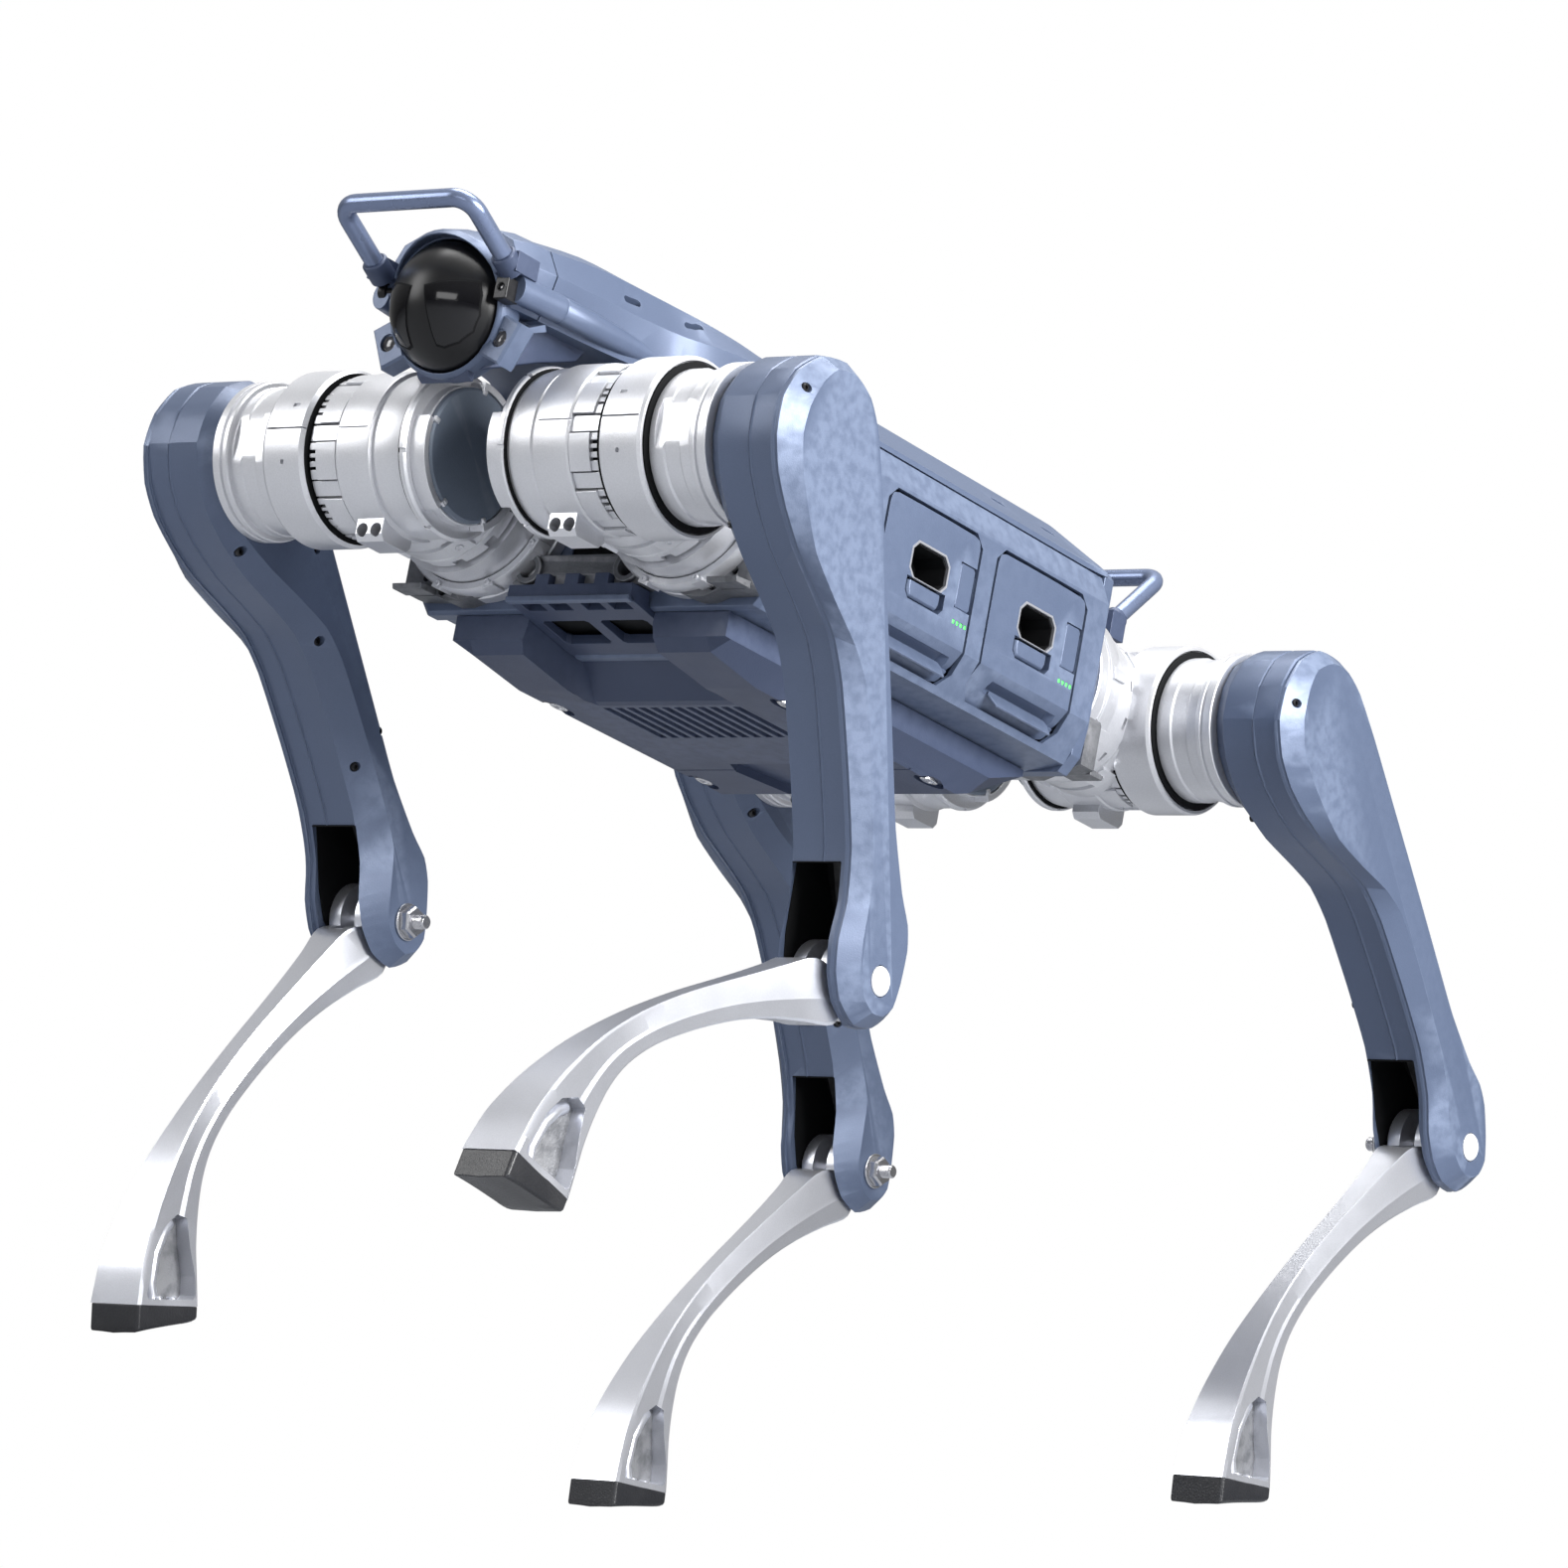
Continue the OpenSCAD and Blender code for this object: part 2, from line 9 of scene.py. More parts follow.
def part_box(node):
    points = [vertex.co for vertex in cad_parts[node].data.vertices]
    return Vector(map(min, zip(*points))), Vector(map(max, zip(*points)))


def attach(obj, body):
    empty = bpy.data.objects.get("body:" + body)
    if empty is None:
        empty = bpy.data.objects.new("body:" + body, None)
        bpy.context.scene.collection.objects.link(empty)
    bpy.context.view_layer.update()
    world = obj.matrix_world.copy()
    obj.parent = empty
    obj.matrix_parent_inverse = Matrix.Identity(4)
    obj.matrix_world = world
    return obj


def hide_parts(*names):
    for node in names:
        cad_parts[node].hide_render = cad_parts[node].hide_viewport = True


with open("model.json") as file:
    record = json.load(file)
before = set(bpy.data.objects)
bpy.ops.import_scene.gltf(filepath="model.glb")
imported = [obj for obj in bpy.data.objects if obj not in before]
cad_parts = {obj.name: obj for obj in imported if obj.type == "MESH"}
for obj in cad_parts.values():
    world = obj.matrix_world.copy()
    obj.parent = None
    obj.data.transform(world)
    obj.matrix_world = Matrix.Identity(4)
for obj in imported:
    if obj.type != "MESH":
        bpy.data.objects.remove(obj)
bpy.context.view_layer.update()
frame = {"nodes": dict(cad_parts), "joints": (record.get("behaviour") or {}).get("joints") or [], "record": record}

# Looks for the quadruped robot dog. Local drawings are in millimetres and are placed in the row frame by
# a matrix: TRUNK for the trunk, and HIP, THIGH and SHANK matrices for each leg, mirrored on the right.
MM = 0.001
scene = bpy.context.scene
JOINTS = {j["name"]: j for j in frame["joints"]}

# ---------------------------------------------------------------- frames
SIDES = {"fl": (1, 1), "fr": (1, -1), "rl": (-1, 1), "rr": (-1, -1)}  # +1 front, +1 left
SHANK_DEG = {"fl": 54, "fr": 26, "rl": 33, "rr": 34}  # shank from vertical, foot to the front
THIGH_L = SHANK_L = 275.0
LEG_Y = 190  # middle plane of a leg, out from the trunk's middle
ROLL_Y = 70  # hip roll axis


def joint_at(name):
    return Vector(JOINTS[name]["pos_m"])


def shift(x, y, z):
    return Matrix.Translation((x, y, z))


def spin(angle, axis):
    """A turn by an angle in degrees."""
    return Matrix.Rotation(radians(angle), 4, axis)


def thigh_angle(leg):
    """Lean of the thigh from vertical, from its two joints."""
    drop = joint_at(leg + "_knee") - joint_at(leg + "_hip_pitch")
    return atan2(-drop.x, -drop.z)


front, rear = joint_at("fl_hip_pitch"), joint_at("rl_hip_pitch")
TRUNK_O = Vector(((front.x + rear.x) / 2, 0, front.z))
HIP_X = (front.x - rear.x) / 2 / MM
TRUNK = Matrix.Translation(TRUNK_O) @ Matrix.Diagonal((MM, MM, MM, 1))


def leg_frames(leg):
    """Matrices of one leg: hip (X away from the trunk's middle), thigh and shank. Y is outward."""
    end, side = SIDES[leg]
    at_hip = TRUNK @ shift(end * HIP_X, 0, 0)
    thigh_a = thigh_angle(leg)
    thigh = at_hip @ Matrix.Diagonal((1, side, 1, 1)) @ Matrix.Rotation(thigh_a, 4, "Y")
    shank_turn = Matrix.Rotation(-thigh_a - radians(SHANK_DEG[leg]), 4, "Y")
    shank = thigh @ shift(0, 0, -THIGH_L) @ shank_turn
    return at_hip @ Matrix.Diagonal((end, side, 1, 1)), thigh, shank


# ---------------------------------------------------------------- materials
def linear(r, g, b):
    """A display colour of 0 to 255 as linear values."""
    return tuple((c / 255 / 12.92) if c < 10 else ((c / 255 + 0.055) / 1.055) ** 2.4 for c in (r, g, b))


def material(name, colour, rough, metal, vary=0.05, grain=0.05, grain_scale=1400, bump=0.02, wear=0.3,
        wear_colour=(0.7, 0.72, 0.76), dust=0.0, cloud=0.015, **sockets):
    """Procedural finish: broad tone changes, fine grain in colour, roughness and bump, worn edges."""
    m = bpy.data.materials.new(name)
    m.use_nodes = True
    nodes, links = m.node_tree.nodes, m.node_tree.links
    bsdf = nodes["Principled BSDF"]
    bsdf.inputs["Metallic"].default_value = metal
    for key, value in sockets.items():
        bsdf.inputs[key.replace("_", " ")].default_value = value
    where = nodes.new("ShaderNodeTexCoord").outputs["Object"]

    def noise(scale, detail=3):
        n = nodes.new("ShaderNodeTexNoise")
        n.inputs["Scale"].default_value = scale
        n.inputs["Detail"].default_value = detail
        links.new(where, n.inputs["Vector"])
        return n.outputs["Fac"]

    def ramp(value, low, high, to_low, to_high):
        r = nodes.new("ShaderNodeMapRange")
        for i, v in enumerate((low, high, to_low, to_high)):
            r.inputs[i + 1].default_value = v
        links.new(value, r.inputs[0])
        return r.outputs[0]

    def mix(factor, a, b):
        x = nodes.new("ShaderNodeMix")
        x.data_type = "RGBA"
        links.new(factor, x.inputs["Factor"])
        for socket, c in ((x.inputs["A"], a), (x.inputs["B"], b)):
            if isinstance(c, tuple):
                socket.default_value = (*c, 1)
            else:
                links.new(c, socket)
        return x.outputs["Result"]

    def shade(k):
        return tuple(c * k for c in colour)

    broad = noise(14, 4)
    tone = mix(ramp(broad, 0.3, 0.7, 0, 1), shade(1 - vary), shade(1 + vary))
    fine = noise(grain_scale, 2)
    tone = mix(ramp(fine, 0.35, 0.65, 0, grain), tone, shade(1.6))
    if dust:
        tone = mix(ramp(noise(45, 6), 0.5, 0.8, 0, dust), tone, (0.35, 0.34, 0.32))
    if wear:
        edge = nodes.new("ShaderNodeNewGeometry").outputs["Pointiness"]
        spread = nodes.new("ShaderNodeMath")
        spread.operation = "MULTIPLY"
        links.new(ramp(edge, 0.52, 0.62, 0, wear), spread.inputs[0])
        links.new(ramp(noise(160, 5), 0.35, 0.6, 0.35, 1), spread.inputs[1])
        tone = mix(spread.outputs[0], tone, wear_colour)
    links.new(tone, bsdf.inputs["Base Color"])
    links.new(ramp(noise(60, 5), 0.3, 0.7, rough - cloud, rough + cloud), bsdf.inputs["Roughness"])
    b = nodes.new("ShaderNodeBump")
    b.inputs["Strength"].default_value = bump
    b.inputs["Distance"].default_value = 0.001
    links.new(fine, b.inputs["Height"])
    links.new(b.outputs[0], bsdf.inputs["Normal"])
    return m


BLUE = material("blue_paint", linear(82, 94, 118), 0.42, 0.30, vary=0.03, grain=0.10, grain_scale=1500,
    bump=0.10, wear=0.25, wear_colour=linear(160, 174, 200), Coat_Weight=0.10, Coat_Roughness=0.35)
# Darker blue paint: the own colour of the dark shell parts, and painted shade where it stands on blue shell parts
# under the head (jaw, throat).
DARK_PAINT_AND_SHADE = material("dark_blue_paint_and_painted_shade", linear(56, 66, 90), 0.48, 0.25, vary=0.05, grain=0.08, bump=0.12,
    wear=0.2, wear_colour=linear(120, 132, 160), Coat_Weight=0.05)
SILVER = material("blasted_aluminium", linear(208, 209, 213), 0.38, 0.70, vary=0.04, grain=0.10,
    grain_scale=1100, bump=0.10, wear=0.12, wear_colour=linear(240, 240, 245))
BRIGHT = material("shank_aluminium", linear(214, 216, 223), 0.29, 0.82, vary=0.04, grain=0.08,
    grain_scale=1300, bump=0.06, wear=0.05, wear_colour=linear(250, 250, 255))
CAST = material("dark_casting", linear(98, 100, 104), 0.48, 0.75, vary=0.14, grain=0.20, grain_scale=700,
    bump=0.25, wear=0.4, wear_colour=linear(205, 205, 208), dust=0.05)
TUBE = material("blue_tube", linear(112, 124, 152), 0.28, 0.60, vary=0.03, grain=0.06, bump=0.05,
    wear=0.1, wear_colour=linear(170, 182, 205))
SLATE = material("slate_cover", linear(98, 108, 122), 0.50, 0.2, vary=0.06, grain=0.1, bump=0.1,
    wear=0.15, wear_colour=linear(160, 165, 170))
STEEL = material("steel", linear(205, 205, 208), 0.24, 1.0, vary=0.06, grain=0.1, bump=0.05, wear=0.1)
WHITE = material("bolt_cap", linear(228, 229, 232), 0.35, 0.3, vary=0.03, grain=0.05, bump=0.04, wear=0.1)
ROD = material("black_anodised", linear(20, 20, 22), 0.38, 0.5, vary=0.1, grain=0.1, bump=0.08, wear=0.25,
    wear_colour=linear(110, 110, 112))
# Flat near-black: painted shadow in cavities, holes, grooves, gaps and recesses, and the matte black border round
# the dome windows.
PAINTED_SHADOW_AND_BLACK = material("painted_shadow_and_matte_black", linear(10, 11, 13), 0.8, 0.0, vary=0.1, grain=0.1, bump=0.05, wear=0.0,
    Specular_IOR_Level=0.2)
DOME = material("smoked_dome", linear(13, 13, 15), 0.34, 0.0, vary=0.1, grain=0.03, bump=0.01, wear=0.0,
    Specular_IOR_Level=0.35)
WINDOW = material("dome_window", linear(10, 10, 13), 0.10, 0.0, vary=0.2, grain=0.02, bump=0.004,
    wear=0.0, Specular_IOR_Level=0.45)
LENS = material("lamp_lens", linear(70, 70, 74), 0.14, 0.1, vary=0.15, grain=0.05, bump=0.01, wear=0.0,
    Coat_Weight=0.6, Coat_Roughness=0.05)
RUBBER = material("foot_rubber", linear(26, 27, 31), 0.36, 0.0, vary=0.15, grain=0.12, grain_scale=900,
    bump=0.2, wear=0.2, wear_colour=linear(80, 80, 84), dust=0.03)
BOARD = material("circuit_board", linear(22, 92, 52), 0.5, 0.0, vary=0.1, grain=0.2, grain_scale=500,
    bump=0.15, wear=0.2)
LED = material("charge_light", linear(80, 230, 90), 0.3, 0.0, vary=0.1, grain=0.05, bump=0.02, wear=0.0,
    Emission_Color=(0.10, 0.85, 0.14, 1), Emission_Strength=0.9)
NODE_LOOKS = {"blue_shell": BLUE, "dark_shell": DARK_PAINT_AND_SHADE, "dark_casting": CAST, "bright_aluminium": SILVER,
    "steel": STEEL, "dark_rod": ROD, "circuit_board": BOARD, "black_dome": DOME, "lamp_glass": LENS,
    "blue_tube": TUBE, "foot_rubber": RUBBER}

# Slot of a piece that names none, by its look
LOOK_SLOTS = {look.name: slot for slot, look in NODE_LOOKS.items()}
LOOK_SLOTS.update({BRIGHT.name: "bright_aluminium", PAINTED_SHADOW_AND_BLACK.name: "dark_shell"})


# ---------------------------------------------------------------- solids: (vertices, faces) in mm
def join(*solids):
    verts, faces = [], []
    for v, f in solids:
        base = len(verts)
        verts += v
        faces += [[i + base for i in face] for face in f]
    return verts, faces


def moved(solid, matrix):
    return [matrix @ Vector(v) for v in solid[0]], solid[1]


def loft(rings):
    """A closed solid through rings that have the same number of points."""
    n = len(rings[0])
    verts = [p for ring in rings for p in ring]
    faces = [[k * n + i, k * n + (i + 1) % n, (k + 1) * n + (i + 1) % n, (k + 1) * n + i]
        for k in range(len(rings) - 1) for i in range(n)]
    return verts, faces + [list(range(n))[::-1], [len(verts) - n + i for i in range(n)]]


def slab(outline, y0, y1):
    """An XZ outline from y0 to y1."""
    return loft([[(x, y, z) for x, z in outline] for y in (y0, y1)])


def plate(outline, z0, z1):
    """An XY outline from z0 to z1."""
    return loft([[(x, y, z) for x, y in outline] for z in (z0, z1)])


def span(outline, x0, x1):
    """A YZ outline from x0 to x1."""
    return loft([[(x, y, z) for y, z in outline] for x in (x0, x1)])


def box(x0, x1, y0, y1, z0, z1):
    return slab([(x0, z0), (x1, z0), (x1, z1), (x0, z1)], y0, y1)


def circle(r, n=48, cx=0.0, cz=0.0, start=0.0):
    return [(cx + r * cos(start + 2 * pi * i / n), cz + r * sin(start + 2 * pi * i / n))
        for i in range(n)]


def lathe(profile, n=96):
    """Turn (radius, y) points about the Y axis. The profile starts and ends on the axis."""
    rings = [[(r * cos(2 * pi * i / n), y, r * sin(2 * pi * i / n)) for i in range(n)]
        for r, y in profile if r > 0]
    return loft(rings)


def wrap(rings):
    """A ring-shaped solid: closed outlines joined in a cycle."""
    count, n = len(rings), len(rings[0])
    faces = [[k * n + i, k * n + (i + 1) % n, (k + 1) % count * n + (i + 1) % n, (k + 1) % count * n + i]
        for k in range(count) for i in range(n)]
    return [p for ring in rings for p in ring], faces


def ring_solid(points, n=96):
    """A closed ring about the Y axis from an outline of (radius, y) points."""
    return wrap([[(r * cos(2 * pi * i / n), y, r * sin(2 * pi * i / n)) for i in range(n)]
        for r, y in points])


def along_x(solid):
    """A solid about the Y axis, turned about to the X axis."""
    return [(p[1], p[0], p[2]) for p in solid[0]], solid[1]


def pin(r, y0, y1, cx=0.0, cz=0.0, n=32, chamfer=0.0):
    """A round bar along Y, with a chamfer at both ends."""
    rings = [(r - chamfer, y0), (r, y0 + chamfer), (r, y1 - chamfer),
        (r - chamfer, y1)] if chamfer else [(r, y0), (r, y1)]
    return loft([[(x, y, z) for x, z in circle(rr, n, cx, cz)] for rr, y in rings])


def pin_x(r, x0, x1, y=0.0, z=0.0, n=32):
    """A round bar along X."""
    return moved(along_x(pin(r, x0, x1, n=n)), shift(0, y, z))


def sector(r0, r1, a0, a1, y0, y1, n=6):
    """A curved block between two radii and two angles (degrees in the XZ plane), along Y."""
    angles = [radians(a0 + (a1 - a0) * i / n) for i in range(n + 1)]
    ring = [(r1 * cos(a), r1 * sin(a)) for a in angles]
    ring += [(r0 * cos(a), r0 * sin(a)) for a in reversed(angles)]
    return slab(ring, y0, y1)


def smooth_ring(points, k=3, tight=0.0):
    """A closed Catmull-Rom curve through points, with k steps between them; tight 1 keeps it straight."""
    n, out = len(points), []
    for i in range(n):
        p = [Vector(points[(i + d) % n]) for d in (-1, 0, 1, 2)]
        for s in range(k):
            t = s / k
            curve = 0.5 * (2 * p[1] + (p[2] - p[0]) * t + (2 * p[0] - 5 * p[1] + 4 * p[2] - p[3]) * t * t
                + (3 * p[1] - p[0] - 3 * p[2] + p[3]) * t ** 3)
            out.append(tuple(curve.lerp(p[1].lerp(p[2], t), tight)))
    return out


def smooth_rows(rows, k=3):
    """Open Catmull-Rom through rows of numbers."""
    out = []
    for i in range(len(rows) - 1):
        a, b, c, d = (rows[max(0, min(len(rows) - 1, i + o))] for o in (-1, 0, 1, 2))
        for s in range(k):
            t = s / k
            out.append([0.5 * (2 * q + (r - p) * t + (2 * p - 5 * q + 4 * r - e) * t * t
                + (3 * q - p - 3 * r + e) * t ** 3) for p, q, r, e in zip(a, b, c, d)])
    return out + [list(rows[-1])]


def rounded(path, radius, steps=8):
    """A path of points with its inner corners rounded."""
    pts = [Vector(p) for p in path]
    out = [pts[0]]
    for a, b, c in zip(pts, pts[1:], pts[2:]):
        u, v = (a - b).normalized(), (c - b).normalized()
        half = u.angle(v) / 2
        reach = radius / tan(half)
        centre = b + (u + v).normalized() * (radius / sin(half))
        start, stop = b + u * reach - centre, b + v * reach - centre
        for i in range(steps + 1):
            out.append(centre + start.normalized().slerp(stop.normalized(), i / steps) * radius)
    return out + [pts[-1]]


def tube(path, r, n=20):
    """A round tube along a path."""
    path = [Vector(p) for p in path]
    rings, side = [], None
    for i, p in enumerate(path):
        way = (path[min(i + 1, len(path) - 1)] - path[max(i - 1, 0)]).normalized()
        side = (side - way * side.dot(way)).normalized() if side else way.orthogonal().normalized()
        other = way.cross(side)
        rings.append([p + (side * cos(2 * pi * j / n) + other * sin(2 * pi * j / n)) * r
            for j in range(n)])
    return loft(rings)


def screw(at, way, r=2.6, h=2.0, n=20):
    """A socket-head screw whose seat is at a point and whose head faces a direction."""
    profile = [(0.4 * r, -0.5), (r, -0.5), (r, 0.75 * h), (0.85 * r, h), (0.5 * r, h),
        (0.45 * r, 0.35 * h)]
    turn = Vector((0, 1, 0)).rotation_difference(Vector(way)).to_matrix().to_4x4()
    return moved(lathe(profile, n), Matrix.Translation(at) @ turn)


# ---------------------------------------------------------------- pieces
def new_object(name, solid, matrix):
    mesh = bpy.data.meshes.new(name)
    mesh.from_pydata([matrix @ Vector(v) for v in solid[0]], [], solid[1])
    bm = bmesh.new()
    bm.from_mesh(mesh)
    bmesh.ops.remove_doubles(bm, verts=bm.verts, dist=1e-7)
    bmesh.ops.recalc_face_normals(bm, faces=bm.faces)
    bm.to_mesh(mesh)
    bm.free()
    o = bpy.data.objects.new(name, mesh)
    scene.collection.objects.link(o)
    return o


def boolean(o, solid, matrix, how="DIFFERENCE"):
    """Cut, or join, a solid and keep the result as the object's mesh."""
    tool = new_object("tool", solid, matrix)
    m = o.modifiers.new("tool", "BOOLEAN")
    m.operation, m.solver, m.object = how, "EXACT", tool
    old = o.data
    o.data = bpy.data.meshes.new_from_object(o.evaluated_get(bpy.context.evaluated_depsgraph_get()))
    o.modifiers.clear()
    o.data.name = o.name
    bpy.data.meshes.remove(old)
    spare = tool.data
    bpy.data.objects.remove(tool)
    bpy.data.meshes.remove(spare)


def finish_surface(o, bevel, crease):
    """Smooth shading with sharp creases, and a bevel (mm) on the edges sharper than the crease."""
    o.data.shade_smooth()
    o.data.set_sharp_from_angle(angle=radians(crease))
    if bevel:
        m = o.modifiers.new("edges", "BEVEL")
        m.width, m.segments, m.limit_method = bevel * MM, 2, "ANGLE"
        m.angle_limit = radians(crease)
        m.use_clamp_overlap = True
        m.harden_normals = True


def piece(name, solid, matrix, body, look, replaces=(), slot=None, cuts=(), joins=(), keep=None,
        bevel=0.5, crease=30):
    """One visible part. joins are added, only what is inside keep stays, and cuts are taken away."""
    o = new_object(name, solid, matrix)
    for extra in joins:
        boolean(o, extra, matrix, "UNION")
    if keep:
        boolean(o, keep, matrix, "INTERSECT")
    for cut in cuts:
        boolean(o, cut, matrix)
    o.data.materials.clear()
    o.data.materials.append(look)
    finish_surface(o, bevel, crease)
    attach(o, body)
    if slot is None:
        slot = LOOK_SLOTS[look.name]
    if replaces:
        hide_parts(*replaces)
    return o


# ---------------------------------------------------------------- thigh
# Side outline of the thigh, from the top of its hip end down the front and back up the rear
THIGH_EDGE = [(0, 45), (20, 40), (35, 28), (43, 9), (44, -10), (40, -29), (32, -51), (17, -78), (7, -98),
    (3, -122), (3, -165), (5, -205), (12, -232), (22, -250), (26, -266), (24.5, -282), (15, -296),
    (0, -300), (-14, -295), (-24, -281), (-31, -264), (-32, -250), (-28, -233), (-26, -200), (-28, -165),
    (-31, -115), (-34, -65), (-36, -25), (-36, 6), (-32, 25), (-19, 40)]
# Flat panel on the outer face, point for point with the outline
THIGH_PANEL = [(-2, 37), (11, 32), (24, 21), (32, 7), (34, -12), (32, -33), (28, -54), (14.5, -80),
    (1, -103), (-6, -124), (-6, -165), (-2, -207), (3, -231), (12, -252), (16, -267), (15, -281),
    (9, -290), (0, -293), (-9, -290), (-17, -279), (-25, -263), (-27, -250), (-24, -233), (-22.5, -200),
    (-24.5, -165), (-27.5, -115), (-30, -65), (-32, -25), (-32, 4), (-28, 20), (-18, 32)]
# Flat panel on the inner face
INNER_PANEL = [(-2, 40), (14, 36), (28, 25), (36, 8), (37, -10), (31, -30), (19, -54), (3, -80),
    (-9, -102), (-13, -124), (-13, -165), (-11, -207), (-8, -233), (4, -252), (14, -267), (14, -281),
    (9, -290), (0, -293), (-9, -290), (-17, -279), (-26, -263), (-29, -250), (-26, -233), (-24, -200),
    (-26, -165), (-29, -115), (-32, -65), (-34, -25), (-34, 5), (-30, 22), (-19, 35)]
CAVITY = [(-22, 20), (-23, -225), (-27, -248), (-27, -262), (-20, -315), (60, -315), (60, -240),
    (24, -222), (8, -213), (-1, -213), (0, -110), (18, -60), (22, 0), (16, 20), (0, 26)]


# Screws of the inner shell, (x, z): on its flat panel, and on the slope around it
INNER_SCREWS = ((-27, -172), (-20, -60))
EDGE_SCREWS = ((33, -37), (-4, -107), (-3, -182))


def inset(points, d):
    """Each point shifted by up to |d|. Negative d widens the ring in X and shortens it in Z."""
    n, out = len(points), []
    for i in range(n):
        a, b = Vector(points[i - 1]), Vector(points[(i + 1) % n])
        t = (b - a).normalized()
        out.append((points[i][0] + t.y * d, points[i][1] + t.x * d))
    return out


def ring_at(points, y):
    return [(x, y, z) for x, z in smooth_ring(points, 3, 0.45)]


def thigh(leg, m):
    body = leg + "_thigh"
    edge, soft = THIGH_EDGE, inset(THIGH_EDGE, -0.7)
    bore = pin(6.3, 160, 225, cz=-THIGH_L)
    cavity_in, cavity_out = slab(CAVITY, 174, 200), slab(CAVITY, 190, 205)
    holes = [pin(2.6, 163, 170, x, z) for x, z in INNER_SCREWS]
    dips = [pin(2.8, 164, 173, x, z) for x, z in EDGE_SCREWS]
    piece(leg + "_thigh_inner_shell", loft([ring_at(INNER_PANEL, 165), ring_at(inset(edge, -0.3), 174.2),
        ring_at(edge, 175.4), ring_at(edge, 193), ring_at(soft, 193.9)]), m, body, BLUE,
        [leg + "_thigh_inner"], cuts=[cavity_in, bore, join(*holes, *dips), pin(20.2, 160, 178)],
        bevel=0.7, crease=16)
    piece(leg + "_thigh_outer_shell",
        loft([ring_at(soft, 194.1), ring_at(edge, 195), ring_at(edge, 207.6), ring_at(soft, 208.7)]), m,
        body, BLUE, [leg + "_thigh_outer"], cuts=[cavity_out, bore], bevel=0.5, crease=22)
    piece(leg + "_thigh_cover_plate",
        loft([ring_at(inset(edge, -1.6), 208.2), ring_at(inset(edge, -1.2), 209.6),
        ring_at(inset(edge, -0.6), 210.4), ring_at(inset(edge, -0.9), 211.8),
        ring_at(THIGH_PANEL, 219.4)]), m, body, BLUE, [leg + "_thigh_cover"],
        cuts=[pin(8.3, 205, 225, cz=-THIGH_L), pin(2.6, 213, 225, 22, 30)], bevel=0.9, crease=14)
    # Painted shadow: near-black sheets inside the cavity, on its rear wall and both cheeks, where the inside of
    # the slot lies in shade.
    rear_wall = [(-22, 20), (-23, -225), (-27, -248), (-27, -262), (-24, -282), (-23.2, -282),
        (-26.2, -262), (-26.2, -248), (-22.2, -225), (-21.2, 20)]
    cheek = [(-21.5, 15), (-22.5, -225), (-26.5, -248), (-26.5, -262), (-20, -283), (0, -292), (17, -281),
        (21, -264), (17, -247), (9, -228), (3.4, -214), (-1.2, -212.6), (-0.2, -110), (17, -60), (21, 0),
        (15, 18)]
    shade_sheet = join(slab(rear_wall, 174.6, 204.4), slab(cheek, 174.05, 174.5), slab(cheek, 204.5, 204.95),
        box(-1, 7.6, 174.6, 204.4, -213.2, -212.6))
    piece(leg + "_thigh_cavity_shadow", shade_sheet, m, body, PAINTED_SHADOW_AND_BLACK, cuts=[pin(7, 160, 225, cz=-THIGH_L)], bevel=0)
    # knee bolt: round cap outside, washer, hex nut and threaded stud inside
    nut_y = 158
    thread = [(0.1, 151), (3.3, 151), (4, 151.8)]
    for i in range(7):
        thread += [(4, 152.2 + i), (3.4, 152.6 + i), (4, 153.0 + i)]
    thread += [(4, 160), (0.1, 160)]
    nut = loft([[(x, yy, z) for x, z in circle(r, 6)] for r, yy in ((7.8, nut_y), (8.9, nut_y + 1.2),
        (8.9, 163.4), (8.2, 163.6))])
    bolt = join(lathe(thread, 32), nut, pin(10.4, 163.6, 164.9, chamfer=0.3), pin(6, 164, 210))
    at_knee = m @ shift(0, 0, -THIGH_L)
    piece(leg + "_knee_bolt", bolt, at_knee, body, STEEL, [leg + "_knee_axle"], bevel=0.2)
    piece(leg + "_knee_cap", lathe([(0.1, 209), (7.4, 209), (7.8, 209.6), (7.8, 219.6), (7.0, 220.4),
        (3, 220.7), (0.1, 220.7)], 40), at_knee, body, WHITE, slot="steel", bevel=0)
    screws = [screw((x, 168.4, z), (0, -1, 0), 2.3, 1.4) for x, z in INNER_SCREWS]
    screws += [screw((x, 171.2, z), (0, -1, 0), 2.4, 1.4) for x, z in EDGE_SCREWS]
    screws += [screw((22, 214.5, 30), (0, 1, 0), 2.2, 1.4)]
    piece(leg + "_thigh_screws", join(*screws), m, body, ROD, bevel=0)
    # eyes at both ends of the push rod
    rod_m = m @ shift(-16, 0, 0)
    top = lathe([(0.1, 186.4), (8.4, 186.4), (9, 187), (9, 193), (8.4, 193.6), (0.1, 193.6)], 40)
    low = moved(top, shift(0, 0, -THIGH_L))
    piece(leg + "_rod_ends", join(top, low), rod_m, leg + "_rod", ROD,
        cuts=[pin(4.6, 180, 200), pin(4.6, 180, 200, cz=-THIGH_L)], bevel=0, crease=35)


